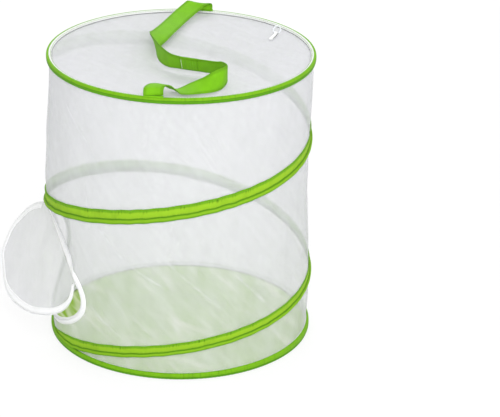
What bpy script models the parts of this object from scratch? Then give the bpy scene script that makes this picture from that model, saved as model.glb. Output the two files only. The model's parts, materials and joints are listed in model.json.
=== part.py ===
"""Pop-up insect cage: a mesh drum held open by a wire spiral, with a flap door and a carrying strap.

The origin is the drum's axis at the table, +Z is up and the front of the cage faces -Y.
Places on the drum's wall are written as an arc, the distance round the wall from the left
side (-X) towards the front, and a height.
"""
import math

import bpy
import bmesh
import numpy as np

MM = 0.001
TURN = 2.0 * math.pi

# Driving sizes of the drum
CAGE_HEIGHT = 388 * MM
RING_RADIUS = 175 * MM          # outside of the bound hoops
BINDING_SIZE = 7 * MM           # height and depth of the bound edge
CLOTH_GAP = 0.3 * MM            # clearance between pieces that touch
WALL_SETBACK = 4 * MM           # from the hoops' outside in to the mesh wall
WALL_RADIUS = RING_RADIUS - WALL_SETBACK
WALL_BULGE = 2.5 * MM           # how much wider the wall stands at mid height
WALL_LEAN = 5.2 * MM            # how far the middle of the drum leans to the left
LEAN_START = 60 * MM            # the wall leans only above this height
WALL_CLOTH = 0.8 * MM
PANEL_CLOTH = 0.6 * MM
FLOOR_CLOTH = 1.0 * MM
PANEL_SAG = 2.2 * MM
SLIT_GRIP = 1.2 * MM            # how deep a panel's edge sits inside its binding
RING_STEPS = 48
WALL_ROWS = 8
CUTTER_REACH = 60 * MM          # how far the door's cutter runs out past the curved wall

# Where the pieces of the rings lie
RING_MIDDLE = RING_RADIUS - BINDING_SIZE / 2
TOP_RING_MIDDLE = CAGE_HEIGHT - BINDING_SIZE / 2
LOW_RING_MIDDLE = BINDING_SIZE / 2
WALL_LOW = BINDING_SIZE + CLOTH_GAP
WALL_TOP = CAGE_HEIGHT - BINDING_SIZE - CLOTH_GAP

# Hoops inside the bindings
HOOP_WIRE = 1.0 * MM            # radius of the sprung steel wire
FERRULE_LENGTH = 14 * MM
FERRULE_WALL = 0.45 * MM
HOOP_END_GAP = 1.5 * MM
HOOP_CHANNEL = 2.35 * MM        # radius of the channel that the binding leaves
BINDING_CHAMFER_SHARE = 0.27

# Spiral: two turns of wire in a tape, from the top ring down to the bottom ring
SPIRAL_TURNS = 2.0
SPIRAL_PITCH = (TOP_RING_MIDDLE - LOW_RING_MIDDLE) / SPIRAL_TURNS
SPIRAL_START_DEG = -167.0       # azimuth where the tape leaves the top ring
SPIRAL_STEPS = 96
SPIRAL_TRIM_SHARE = 0.011       # share of the spiral that is tucked away at each end
TAPE_WIDTH_TOP = 19.5 * MM
TAPE_WIDTH_LOW = 16 * MM
TAPE_MIN = 6.5 * MM             # tape left where it is trimmed against a ring
TAPE_CLOTH = 1.2 * MM
TAPE_GAP = 0.7 * MM             # between the faceted wall and the tape
TUNNEL_OUT = 3.5 * MM           # how far the wire tunnel stands out from the tape's back
TUNNEL_HEIGHT = 6.6 * MM
TUNNEL_RADIUS = 1.3 * MM
SPIRAL_WIRE = 0.9 * MM
LIFT_MEAN = 2.5 * MM            # the turns aren't quite level: they rise at the back,
LIFT_BACK = 4.8 * MM            # and dip on the right and at both sides
LIFT_LEFT = 2.2 * MM
LIFT_SIDES = 2.8 * MM
LIFT_FADE_SHARE = 0.08          # share of the spiral over which that fades at each end

# Door: a D whose straight side runs down the wall from the top corner to the front
DOOR_BULGE_SHARE = 0.8          # how much of the wall's bulge the door's arcs are measured on
ARC_RADIUS = WALL_RADIUS + WALL_BULGE * DOOR_BULGE_SHARE
DOOR_REAR_ARC = -79 * MM
DOOR_WIDTH = 206 * MM
DOOR_LOW = 30 * MM
DOOR_CLEARANCE = 4.5 * MM       # from the spiral's first turn down to the door's top
DOOR_TOP = LOW_RING_MIDDLE + SPIRAL_PITCH - TAPE_WIDTH_TOP - DOOR_CLEARANCE
DOOR_TALL = DOOR_TOP - DOOR_LOW
HINGE_TOP_SHARES = (0.345, 1.0)
HINGE_FRONT_SHARES = (0.937, 0.579)
DOOR_CURVE_SHARES = [
    (0.979, 0.497), (1.0, 0.399), (0.980, 0.290), (0.908, 0.182), (0.804, 0.098),
    (0.670, 0.030), (0.507, 0.0), (0.335, 0.022), (0.172, 0.120), (0.048, 0.265),
    (0.0, 0.455), (0.029, 0.640), (0.115, 0.812), (0.239, 0.951),
]
CURVE_STEPS = 3
DOOR_OPEN_DEG = -30.0           # how far the flap hangs open
FLAP_CURVE_SHARE = 4.0          # the open flap is nearly flat: its radius against the wall's
FLAP_INSET = 2.6 * MM
FLAP_CLOTH = 0.9 * MM
HEM_WIDTH = 8 * MM
HEM_CLOTH = 0.7 * MM
RIM_WIDTH = 6 * MM
RIM_CLOTH = 1.0 * MM
RIM_GAP = 0.7 * MM
FOLD_WIDTH = 7 * MM
FOLD_ROOM = 2.6 * MM            # the hole stops this far above the hinge line
COIL_RADIUS = 0.9 * MM
COIL_SIDES = 6

# Zip slider, its pull and the end stop
STOP_SIZE = 4 * MM
STOP_THICK = 1.6 * MM
SLIDER_LENGTH = 10 * MM
SLIDER_WIDTH = 8 * MM
SLIDER_PLATE = 1.0 * MM
SLIDER_SETBACK = 12 * MM        # from the door's top corner to the slider's middle
BAIL_REACH = 3.2 * MM           # half the length of the bridge over the plate
BAIL_HEIGHT = 2.6 * MM          # from the plate's middle to the underside of the bridge
BAIL_WIDTH = 2.4 * MM
BAIL_THICK = 1.0 * MM
PULL_LENGTH = 22 * MM
PULL_WIDTH = 6 * MM
PULL_THICK = 1.0 * MM
PULL_BAR = 0.9 * MM             # the pull's end bar, which turns under the bridge
PULL_EYE_LENGTH = 4.2 * MM

# Carrying strap, over the top from ring to ring
STRAP_WIDTH = 25 * MM
STRAP_CLOTH = 1.5 * MM
ANCHOR_FRONT_DEG = -101.5
ANCHOR_REAR_DEG = 79.9
ANCHOR_DEPTH = 6 * MM
ANCHOR_CLOTH = 1.3 * MM
SEAM_CLOTH = 3.2 * MM
# Each station: the strap's middle as shares of the ring radius across and back, its height
# above the top ring as a share of the strap's width, and the direction from its lower edge
# to its upper edge
STRAP_FRONT_SHARES = [
    (-0.196, -0.960, 0.080, (-1.0, 0.0, 0.0)),
    (-0.196, -0.960, 0.220, (-1.0, 0.03, 0.0)),
    (-0.193, -0.946, 0.385, (-0.98, 0.20, 0.0)),
    (-0.172, -0.908, 0.455, (-0.84, 0.54, -0.08)),
    (-0.133, -0.882, 0.429, (-0.60, 0.78, -0.19)),
    (-0.097, -0.867, 0.316, (-0.42, 0.87, -0.27)),
    (-0.064, -0.858, 0.150, (-0.31, 0.91, -0.26)),
    (-0.026, -0.853, 0.030, (-0.22, 0.96, -0.15)),
    (0.020, -0.861, 0.075, (-0.16, 0.99, 0.05)),
    (0.074, -0.857, 0.160, (-0.12, 0.96, 0.26)),
    (0.133, -0.845, 0.242, (-0.08, 0.90, 0.44)),
    (0.191, -0.836, 0.345, (-0.06, 0.76, 0.64)),
    (0.250, -0.807, 0.447, (-0.05, 0.53, 0.85)),
    (0.301, -0.753, 0.516, (-0.02, 0.17, 0.98)),
    (0.325, -0.671, 0.505, (0.0, -0.28, 0.96)),
    (0.285, -0.560, 0.46, (0.0, -0.50, 0.86)),
    (0.205, -0.525, 0.46, (-0.03, -0.52, 0.85)),
    (0.110, -0.485, 0.46, (0.0, -0.55, 0.84)),
]
STRAP_SEAM_SHARES = [
    (0.110, -0.485, 0.46, (0.0, -0.55, 0.84)),
    (0.0, -0.440, 0.46, (0.0, -0.55, 0.84)),
]
STRAP_REAR_SHARES = [
    (0.0, -0.440, 0.46, (0.0, -0.55, 0.84)),
    (-0.090, -0.375, 0.46, (0.08, -0.48, 0.87)),
    (-0.155, -0.245, 0.46, (0.05, -0.35, 0.93)),
    (-0.190, -0.085, 0.46, (-0.15, -0.30, 0.94)),
    (-0.195, 0.085, 0.42, (-0.55, -0.30, 0.75)),
    (-0.155, 0.275, 0.26, (-0.90, -0.10, 0.36)),
    (-0.095, 0.475, 0.18, (-0.96, 0.12, 0.22)),
    (-0.015, 0.700, 0.20, (-0.96, 0.16, 0.20)),
    (0.070, 0.865, 0.36, (-0.95, 0.18, 0.22)),
    (0.118, 0.920, 0.48, (-0.96, 0.19, 0.10)),
    (0.165, 0.944, 0.36, (-0.98, 0.18, 0.03)),
    (0.168, 0.943, 0.085, (-0.984, 0.176, 0.0)),
]
STRAP_STEPS = 3

# Clear ring in its ribbon loop, near the back right of the top
RIBBON_WIDTH = 5 * MM
RIBBON_CLOTH = 0.8 * MM
RIBBON_START_SHARES = (0.665, 0.310)
RIBBON_END_SHARES = (0.719, 0.443)
HANG_RING_RADIUS = 5.0 * MM
HANG_RING_WIRE = 0.9 * MM
HANG_RING_TILT_DEG = 52.0
HANG_RING_STEPS = 20


def clear_scene():
    for item in list(bpy.data.objects):
        bpy.data.objects.remove(item, do_unlink=True)


def material(name, colour, roughness, metallic=0.0, alpha=1.0):
    finish = bpy.data.materials.new(name)
    finish.use_nodes = True
    shader = finish.node_tree.nodes["Principled BSDF"]
    shader.inputs["Base Color"].default_value = (*colour, 1.0)
    shader.inputs["Roughness"].default_value = roughness
    shader.inputs["Metallic"].default_value = metallic
    shader.inputs["Alpha"].default_value = alpha
    return finish


LIME = (0.29, 0.52, 0.03)
LIME_DEEP = (0.22, 0.43, 0.02)
NET = (0.86, 0.86, 0.90)
TAPE_WHITE = (0.90, 0.90, 0.92)
STEEL = (0.55, 0.56, 0.58)


def add_object(name, mesh, colour, roughness=0.8, metallic=0.0, alpha=1.0, parent=None):
    item = bpy.data.objects.new(name, mesh)
    bpy.context.scene.collection.objects.link(item)
    mesh.materials.append(material(name + "_finish", colour, roughness, metallic, alpha))
    mesh.shade_smooth()
    mesh.set_sharp_from_angle(angle=math.radians(38))
    if parent is not None:
        item.parent = parent
        item.matrix_parent_inverse = parent.matrix_world.inverted()
    return item


def joint_empty(name, place):
    """An empty on a moving piece's axis, which that piece is parented to."""
    item = bpy.data.objects.new(name, None)
    item.location = place
    bpy.context.scene.collection.objects.link(item)
    bpy.context.view_layer.update()
    return item


def mesh_from(name, points, faces):
    """A closed mesh from its points and faces, with its faces turned outwards."""
    mesh = bpy.data.meshes.new(name)
    mesh.from_pydata([tuple(p) for p in points], [], faces)
    shape = bmesh.new()
    shape.from_mesh(mesh)
    bmesh.ops.recalc_face_normals(shape, faces=shape.faces)
    shape.to_mesh(mesh)
    shape.free()
    return mesh


def swept(name, sections, closed):
    """A solid from a row of closed sections of equal count; an open row gets flat ends."""
    sections = np.asarray(sections)
    rows, count = sections.shape[:2]
    faces = []
    for row in range(rows if closed else rows - 1):
        here, there = row * count, ((row + 1) % rows) * count
        for i in range(count):
            j = (i + 1) % count
            faces.append((here + i, here + j, there + j, there + i))
    if not closed:
        faces.append(tuple(range(count)))
        faces.append(tuple(range((rows - 1) * count, rows * count)))
    return mesh_from(name, sections.reshape(-1, 3), faces)


def swept_tube(name, outer, inner):
    """A hollow bar, open at both ends, from outer and inner sections of equal count."""
    outer, inner = np.asarray(outer), np.asarray(inner)
    rows, count = outer.shape[:2]
    base = rows * count
    faces = []
    for row in range(rows - 1):
        for i in range(count):
            j = (i + 1) % count
            a, b = row * count + i, row * count + j
            faces.append((a, b, b + count, a + count))
            faces.append((base + a, base + a + count, base + b + count, base + b))
    for row in (0, rows - 1):
        for i in range(count):
            j = (i + 1) % count
            a, b = row * count + i, row * count + j
            faces.append((a, b, base + b, base + a))
    points = np.concatenate([outer.reshape(-1, 3), inner.reshape(-1, 3)])
    return mesh_from(name, points, faces)


def sheet_solid(name, front, back):
    """A closed sheet from two grids of points, its front and its back."""
    front, back = np.asarray(front), np.asarray(back)
    rows, columns = front.shape[:2]
    base = rows * columns
    faces = []
    for row in range(rows - 1):
        for column in range(columns - 1):
            a = row * columns + column
            b, c, d = a + 1, a + columns + 1, a + columns
            faces.append((a, b, c, d))
            faces.append((base + a, base + d, base + c, base + b))
    rim = [column for column in range(columns)]
    rim += [row * columns + columns - 1 for row in range(1, rows)]
    rim += [(rows - 1) * columns + column for column in range(columns - 2, -1, -1)]
    rim += [row * columns for row in range(rows - 2, 0, -1)]
    for i, a in enumerate(rim):
        b = rim[(i + 1) % len(rim)]
        faces.append((a, b, base + b, base + a))
    points = np.concatenate([front.reshape(-1, 3), back.reshape(-1, 3)])
    return mesh_from(name, points, faces)


def box_mesh(name, centre, across, along, out, size):
    """A box from its centre, three directions and its size along each."""
    centre = np.asarray(centre, float)
    sides = [np.asarray(d, float) * (s / 2) for d, s in zip((across, along, out), size)]
    points = []
    for k in (-1, 1):
        for u, v in ((-1, -1), (1, -1), (1, 1), (-1, 1)):
            points.append(centre + u * sides[0] + v * sides[1] + k * sides[2])
    faces = [(0, 1, 2, 3), (4, 5, 6, 7)]
    faces += [(i, (i + 1) % 4, 4 + (i + 1) % 4, 4 + i) for i in range(4)]
    return mesh_from(name, points, faces)


def subtract(item, cutter):
    """Cut one object from another, exactly, and hide the cutter."""
    cut = item.modifiers.new("Cut", "BOOLEAN")
    cut.operation = "DIFFERENCE"
    cut.solver = "EXACT"
    cut.object = cutter
    cutter.hide_render = True
    cutter.display_type = "WIRE"


def fuse(item, other):
    join = item.modifiers.new("Join", "BOOLEAN")
    join.operation = "UNION"
    join.solver = "EXACT"
    join.object = other
    other.hide_render = True
    other.display_type = "WIRE"


def unit(vector):
    vector = np.asarray(vector, float)
    return vector / np.linalg.norm(vector)


def smooth_open(points, steps):
    """Catmull-Rom curve through a list of points, with its own first and last point."""
    points = np.asarray(points, float)
    padded = np.vstack([2 * points[0] - points[1], points, 2 * points[-1] - points[-2]])
    out = []
    for i in range(1, len(padded) - 2):
        a, b, c, d = padded[i - 1:i + 3]
        for step in range(steps):
            t = step / steps
            out.append(0.5 * (2 * b + (c - a) * t + (2 * a - 5 * b + 4 * c - d) * t ** 2
                              + (3 * b - a - 3 * c + d) * t ** 3))
    out.append(points[-1])
    return np.array(out)


# The wall's surface


def wall_centre(z):
    rise = np.clip((np.asarray(z, float) - LEAN_START) / (CAGE_HEIGHT - LEAN_START), 0, 1)
    return -WALL_LEAN * np.sin(math.pi * rise) ** 2


def wall_point(azimuth, z, out=0.0):
    """Points on the wall's outer surface, or a distance out from it; azimuth in radians."""
    azimuth, z = np.broadcast_arrays(np.asarray(azimuth, float), np.asarray(z, float))
    radius = WALL_RADIUS + WALL_BULGE * np.sin(math.pi * z / CAGE_HEIGHT) + out
    return np.stack([wall_centre(z) + radius * np.cos(azimuth), radius * np.sin(azimuth), z], -1)


def on_wall(place, out=0.0):
    """Points on the wall from their arc and height."""
    place = np.asarray(place, float)
    return wall_point(math.pi + place[..., 0] / ARC_RADIUS, place[..., 1], out)


def wall_outward(place):
    angle = math.pi + np.asarray(place, float)[..., 0] / ARC_RADIUS
    return np.stack([np.cos(angle), np.sin(angle), 0 * angle], -1)


def ring_angles():
    """Angles of the rings' corners, with the back (+Y) at the middle of a straight."""
    return (np.arange(RING_STEPS) + 0.5) * TURN / RING_STEPS


def make_side_wall(door_line):
    angles = ring_angles()
    heights = np.linspace(WALL_LOW, WALL_TOP, WALL_ROWS + 1)
    outer = wall_point(angles[None, :], heights[:, None])
    inner = wall_point(angles[None, :], heights[:, None], -WALL_CLOTH)
    sections = []
    for column in range(RING_STEPS):
        sections.append(np.concatenate([outer[:, column], inner[::-1, column]]))
    wall = add_object("side_wall", swept("side_wall", sections, closed=True), NET, 0.9, alpha=0.4)
    near, far = on_wall(door_line, CUTTER_REACH), on_wall(door_line, -CUTTER_REACH)
    cutter = add_object("door_cutter", swept("door_cutter", [near, far], closed=False), NET)
    subtract(wall, cutter)
    return wall


# Bound hoops


def binding_profile():
    """The folded binding: a square with cut corners, a wire channel and a slit inwards."""
    half, cut = BINDING_SIZE / 2, BINDING_SIZE * BINDING_CHAMFER_SHARE
    slit = PANEL_CLOTH / 2 + CLOTH_GAP + FLOOR_CLOTH / 4
    mouth = -math.sqrt(HOOP_CHANNEL ** 2 - slit ** 2)
    outside = [(-half, slit), (-half, half - cut), (-half + cut, half), (half - cut, half),
               (half, half - cut), (half, cut - half), (half - cut, -half), (-half + cut, -half),
               (-half, cut - half), (-half, -slit)]
    channel = [(mouth, -slit)]
    for share in (-0.32, -0.16, 0.0, 0.16, 0.32):
        channel.append((HOOP_CHANNEL * math.cos(share * TURN), HOOP_CHANNEL * math.sin(share * TURN)))
    channel.append((mouth, slit))
    return outside + channel


def revolved(name, profile, angles, middle_z):
    sections = []
    for angle in angles:
        cos, sin = math.cos(angle), math.sin(angle)
        sections.append([((RING_MIDDLE + r) * cos, (RING_MIDDLE + r) * sin, middle_z + z)
                         for r, z in profile])
    return swept(name, sections, closed=True)


def circle_section(centre, side, up, radius, sides):
    turns = (np.arange(sides) + 0.5) * TURN / sides
    return (np.asarray(centre) + radius * np.outer(np.cos(turns), side)
            + radius * np.outer(np.sin(turns), up))


def make_hoop(prefix, middle_z):
    """A sprung wire bent into a ring, its two ends held in a ferrule at the back."""
    angles = list(ring_angles())
    back = TURN / 4
    chord = RING_MIDDLE * math.cos(TURN / RING_STEPS / 2)
    start = int(round(back / (TURN / RING_STEPS)))
    order = angles[start:] + [a + TURN for a in angles[:start]]
    sections = []
    for angle in order:
        out = np.array([math.cos(angle), math.sin(angle), 0.0])
        sections.append(circle_section(RING_MIDDLE * out + (0, 0, middle_z), out, (0, 0, 1),
                                       HOOP_WIRE, COIL_SIDES))
    out, along = np.array([0.0, 1.0, 0.0]), np.array([-1.0, 0.0, 0.0])
    for side, place in ((-1, len(sections)), (1, 0)):
        middle = chord * out + along * side * HOOP_END_GAP / 2 + (0, 0, middle_z)
        end = circle_section(middle, out, (0, 0, 1), HOOP_WIRE, COIL_SIDES)
        sections.insert(place, end)
    name = prefix + "_hoop"
    add_object(name, swept(name, sections, closed=False), STEEL, 0.35, 1.0)

    bore = HOOP_WIRE + CLOTH_GAP
    rims = {}
    for radius in (bore, bore + FERRULE_WALL):
        rows = []
        for side in (-1, 1):
            middle = chord * out + along * side * FERRULE_LENGTH / 2 + (0, 0, middle_z)
            rows.append(circle_section(middle, out, (0, 0, 1), radius, COIL_SIDES + 2))
        rims[radius] = rows
    name = prefix + "_ferrule"
    tube = swept_tube(name, rims[bore + FERRULE_WALL], rims[bore])
    add_object(name, tube, STEEL, 0.4, 1.0)


def make_bound_rings():
    for prefix, middle in (("bottom", LOW_RING_MIDDLE), ("top", TOP_RING_MIDDLE)):
        name = prefix + "_binding"
        add_object(name, revolved(name, binding_profile(), ring_angles(), middle), LIME, 0.75)
        make_hoop(prefix, middle)


# Floor and top panel


def disc(name, stations, colour, roughness, alpha=1.0):
    """A turned cloth disc: each station is a radius with its upper and lower height."""
    angles = ring_angles()
    count = len(angles)
    points, faces = [], []
    for radius, high, low in stations:
        for z in (high, low):
            points += [(radius * math.cos(a), radius * math.sin(a), z) for a in angles]
    for layer in range(len(stations) - 1):
        for side in (0, 1):
            here, there = (2 * layer + side) * count, (2 * layer + 2 + side) * count
            for i in range(count):
                j = (i + 1) % count
                faces.append((here + i, here + j, there + j, there + i))
    last = 2 * (len(stations) - 1) * count
    for i in range(count):
        j = (i + 1) % count
        faces.append((last + i, last + j, last + count + j, last + count + i))
    faces.append(tuple(range(count)))
    faces.append(tuple(range(count, 2 * count)))
    return add_object(name, mesh_from(name, points, faces), colour, roughness, alpha=alpha)


def make_panels():
    inside = RING_RADIUS - BINDING_SIZE
    grip = inside + SLIT_GRIP
    clear = inside - BINDING_SIZE
    half = FLOOR_CLOTH / 2
    edge = LOW_RING_MIDDLE
    disc("floor_panel", [(clear - BINDING_SIZE, FLOOR_CLOTH, 0.0), (clear, FLOOR_CLOTH, 0.0),
                         (inside - CLOTH_GAP, edge + half, edge - half),
                         (grip, edge + half, edge - half)], LIME_DEEP, 0.8)
    half = PANEL_CLOTH / 2
    edge = TOP_RING_MIDDLE
    middle = edge - PANEL_SAG
    disc("top_panel", [(RING_RADIUS / 2, middle + half, middle - half),
                       (inside - CLOTH_GAP, edge + half, edge - half),
                       (grip, edge + half, edge - half)], NET, 0.9, alpha=0.4)


# Spiral band and its wire


def turn_lift(azimuth):
    """How far each turn stands above an even spiral, by its direction from the axis."""
    return (LIFT_MEAN + LIFT_BACK * np.sin(azimuth) - LIFT_LEFT * np.cos(azimuth)
            - LIFT_SIDES * np.cos(2 * azimuth))


def spiral_course():
    """Azimuth, lower edge and upper edge of the tape along the spiral."""
    share = np.linspace(SPIRAL_TRIM_SHARE, 1 - SPIRAL_TRIM_SHARE, SPIRAL_STEPS + 1)
    azimuth = math.radians(SPIRAL_START_DEG) - TURN * SPIRAL_TURNS * share
    fade = np.clip(share / LIFT_FADE_SHARE, 0, 1) * np.clip((1 - share) / LIFT_FADE_SHARE, 0, 1)
    middle = TOP_RING_MIDDLE + (LOW_RING_MIDDLE - TOP_RING_MIDDLE) * share + fade * turn_lift(azimuth)
    width = np.interp(share, (0, 0.5, 0.8, 1), (TAPE_WIDTH_TOP, TAPE_WIDTH_TOP, TAPE_WIDTH_LOW,
                                               TAPE_WIDTH_LOW))
    upper = middle + width / 2
    lower = upper - width
    lower = np.maximum(lower, WALL_LOW)
    upper = np.minimum(upper, WALL_TOP)
    lower = np.minimum(lower, upper - TAPE_MIN)
    upper = np.maximum(upper, lower + TAPE_MIN)
    return azimuth, lower, upper


def make_spiral():
    azimuth, lower, upper = spiral_course()
    tunnel_middle = TUNNEL_HEIGHT / 2
    tunnel_out = (TUNNEL_OUT + TAPE_CLOTH / 3) / 2
    outer, inner, wire = [], [], []
    turns = (np.arange(8) + 0.5) * TURN / 8
    octagon = [(-math.cos(t), math.sin(t)) for t in turns]
    for angle, low, high in zip(azimuth, lower, upper):
        section = [
            (0.0, low + TAPE_CLOTH / 2), (0.0, high), (TAPE_CLOTH, high),
            (TAPE_CLOTH, low + TUNNEL_HEIGHT), (TUNNEL_OUT, low + tunnel_middle + TAPE_CLOTH),
            (TUNNEL_OUT, low + tunnel_middle - TAPE_CLOTH), (TAPE_CLOTH * 2, low),
            (TAPE_CLOTH / 2, low)]
        outer.append([wall_point(angle, z, TAPE_GAP + out) for out, z in section])
        order = [octagon[(k + 7) % 8] for k in range(8)]
        inner.append([wall_point(angle, low + tunnel_middle + TUNNEL_RADIUS * v,
                                 TAPE_GAP + tunnel_out + TUNNEL_RADIUS * u) for u, v in order])
        hexagon = [(math.cos(t), math.sin(t)) for t in np.arange(6) * TURN / 6]
        wire.append([wall_point(angle, low + tunnel_middle + SPIRAL_WIRE * v,
                                TAPE_GAP + tunnel_out + SPIRAL_WIRE * u) for u, v in hexagon])
    add_object("spiral_band", swept_tube("spiral_band", outer, inner), LIME, 0.75)
    add_object("spiral_wire", swept("spiral_wire", wire, closed=False), STEEL, 0.35, 1.0)
    path = np.mean(np.asarray(wire), axis=1)
    per_turn = int(SPIRAL_STEPS / SPIRAL_TURNS)
    gaps = np.linalg.norm(path[per_turn:] - path[:-per_turn], axis=1) - 2 * SPIRAL_WIRE
    print("least gap between the spiral's turns, mm:", round(float(gaps.min()) / MM, 1))


# Door


def door_place(shares):
    return np.array([DOOR_REAR_ARC + shares[0] * DOOR_WIDTH, DOOR_LOW + shares[1] * DOOR_TALL])


def door_curve():
    """The zipped side of the door, from the front end of its hinge round to the top corner."""
    points = [door_place(HINGE_FRONT_SHARES)]
    points += [door_place(shares) for shares in DOOR_CURVE_SHARES]
    points.append(door_place(HINGE_TOP_SHARES))
    return smooth_open(points, CURVE_STEPS)


def hinge_run(count):
    top, front = door_place(HINGE_TOP_SHARES), door_place(HINGE_FRONT_SHARES)
    return np.array([top + (front - top) * i / count for i in range(count + 1)])


def hinge_upward():
    """Direction on the wall, square to the hinge line and away from the door."""
    top, front = door_place(HINGE_TOP_SHARES), door_place(HINGE_FRONT_SHARES)
    return unit((top[1] - front[1], front[0] - top[0]))


def door_outline():
    """The hole in the wall, which leaves room above the hinge line for the folded tape."""
    hinge_side = hinge_run(CURVE_STEPS * 4) + hinge_upward() * FOLD_ROOM
    return np.vstack([door_curve(), hinge_side])


def hinge_axis():
    """The straight fold line that the flap turns about, between the hinge's two ends."""
    top, front = on_wall(door_place(HINGE_TOP_SHARES)), on_wall(door_place(HINGE_FRONT_SHARES))
    return top, front


def offset_curve(curve, distance):
    """Points of a flat curve moved to its left-hand side, looking along it."""
    curve = np.asarray(curve, float)
    step = np.gradient(curve, axis=0)
    step /= np.linalg.norm(step, axis=1)[:, None]
    return curve + distance * np.stack([-step[:, 1], step[:, 0]], -1)


def ribbon_on_wall(name, inner, outer, low_out, high_out, colour):
    """A strip on the wall between two curves of places."""
    sections = []
    for a, b in zip(inner, outer):
        sections.append([on_wall(a, low_out), on_wall(b, low_out), on_wall(b, high_out),
                         on_wall(a, high_out)])
    return add_object(name, swept(name, sections, closed=False), colour, 0.85)


def turned(points, centre, axis, angle):
    """Points turned about a line through a centre, by the right-hand rule."""
    rest = points - centre
    return (centre + rest * math.cos(angle) + np.cross(axis, rest) * math.sin(angle)
            + np.multiply.outer(rest @ axis, axis) * (1 - math.cos(angle)))


def flap_point(place, out=0.0):
    """A place of the flap: laid on a gentle arc, fitted to the fold line, then swung open."""
    flap_radius = ARC_RADIUS * FLAP_CURVE_SHARE
    ends = np.array([door_place(HINGE_TOP_SHARES), door_place(HINGE_FRONT_SHARES)])
    middle = ends.mean(axis=0)
    facing = math.pi + middle[0] / ARC_RADIUS
    normal = np.array([math.cos(facing), math.sin(facing), 0.0])
    side = np.array([-math.sin(facing), math.cos(facing), 0.0])

    def laid(spot, lift):
        bend = (spot[..., 0] - middle[0]) / flap_radius
        radius = flap_radius + lift
        return (np.multiply.outer(radius * np.cos(bend) - flap_radius, normal)
                + np.multiply.outer(radius * np.sin(bend), side)
                + np.multiply.outer(spot[..., 1], (0.0, 0.0, 1.0)))

    top, front = hinge_axis()
    axis = unit(front - top)
    laid_top, laid_front = laid(ends, 0.0)
    laid_axis = unit(laid_front - laid_top)
    points = laid(np.asarray(place, float), out) + (top + front - laid_top - laid_front) / 2
    across = np.cross(laid_axis, axis)
    centre = (top + front) / 2
    points = turned(points, centre, unit(across), math.asin(np.linalg.norm(across)))
    drawn_in = np.linalg.norm(front - top) / np.linalg.norm(laid_front - laid_top) - 1
    points = points + np.multiply.outer((points - centre) @ axis, axis) * drawn_in
    return turned(points, centre, axis, math.radians(DOOR_OPEN_DEG))


def make_flap(parent):
    """The door's cloth, hem and zip coil, hanging open from the fold line."""
    edge = offset_curve(door_curve(), -FLAP_INSET)
    count = len(edge)
    top, front = door_place(HINGE_TOP_SHARES), door_place(HINGE_FRONT_SHARES)
    inward = -hinge_upward()
    fold_top, fold_front = top + inward * FLAP_INSET, front + inward * FLAP_INSET
    edge[0], edge[-1] = fold_front, fold_top
    fold = np.array([fold_front + (fold_top - fold_front) * i / (count - 1) for i in range(count)])
    rows = [fold + (edge - fold) * t for t in np.linspace(0, 1, 6)[1:-1]]
    front_grid, back_grid = [], []
    grid = [fold[1:-1]] + [row[1:-1] for row in rows] + [edge[1:-1]]
    for row in grid:
        front_grid.append(flap_point(row, FLAP_CLOTH / 2))
        back_grid.append(flap_point(row, -FLAP_CLOTH / 2))
    add_object("door_flap", sheet_solid("door_flap", front_grid, back_grid), NET, 0.9, alpha=0.4,
               parent=parent)

    line = edge[2:-2]
    inner = offset_curve(line, -HEM_WIDTH)
    low, high = FLAP_CLOTH / 2 + CLOTH_GAP, FLAP_CLOTH / 2 + CLOTH_GAP + HEM_CLOTH
    sections = [[flap_point(a, low), flap_point(b, low), flap_point(b, high), flap_point(a, high)]
                for a, b in zip(line, inner)]
    add_object("flap_hem", swept("flap_hem", sections, closed=False), TAPE_WHITE, 0.85,
               parent=parent)

    track = offset_curve(line, CLOTH_GAP + COIL_RADIUS)
    add_coil("zip_coil_flap", track, flap_point, parent)


def add_coil(name, track, place_on, parent=None):
    """A zip's coil as one bead along a curve of places."""
    side = offset_curve(track, COIL_RADIUS) - track
    turns = (np.arange(COIL_SIDES) + 0.5) * TURN / COIL_SIDES
    sections = []
    for place, across in zip(track, side):
        sections.append([place_on(place + across * math.cos(t), COIL_RADIUS * math.sin(t))
                         for t in turns])
    return add_object(name, swept(name, sections, closed=False), TAPE_WHITE, 0.6, parent=parent)


def make_door_rim():
    """The zip's tape and coil round the opening, and the folded strip along the hinge."""
    curve = door_curve()
    line = offset_curve(curve, RIM_GAP)[1:-1]
    outer = offset_curve(curve, RIM_WIDTH)[1:-1]
    ribbon_on_wall("rim_tape", line, outer, RIM_GAP, RIM_GAP + RIM_CLOTH, TAPE_WHITE)

    track = offset_curve(curve, 2 * COIL_RADIUS + RIM_GAP)[2:-2]
    lift = RIM_GAP + RIM_CLOTH + CLOTH_GAP + COIL_RADIUS
    add_coil("zip_coil_wall", track, lambda place, out: on_wall(place, out + lift))


def make_hinge_tape(parent):
    """The strip of tape from the wall, in over the hole's edge, to the straight fold line."""
    places = hinge_run(CURVE_STEPS * 5)[1:-1]
    upward = hinge_upward()
    lift = np.array([0.0, 0.0, 1.0])
    axis_top, axis_front = hinge_axis()
    count = len(places)
    sections = []
    for i, place in enumerate(places):
        fold = axis_top + (axis_front - axis_top) * (i + 1) / (count + 1)
        low, high = FOLD_ROOM / 3 - RIM_CLOTH, FOLD_ROOM / 3
        sections.append([
            on_wall(place + upward * FOLD_WIDTH, RIM_GAP),
            on_wall(place + upward * FOLD_WIDTH, RIM_GAP + RIM_CLOTH),
            on_wall(place + upward * low, RIM_GAP + RIM_CLOTH),
            fold + lift * low,
            fold + lift * high,
            on_wall(place + upward * high, RIM_GAP)])
    add_object("hinge_tape", swept("hinge_tape", sections, closed=False), TAPE_WHITE, 0.85,
               parent=parent)


# Zip slider, pull and stop


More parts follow.
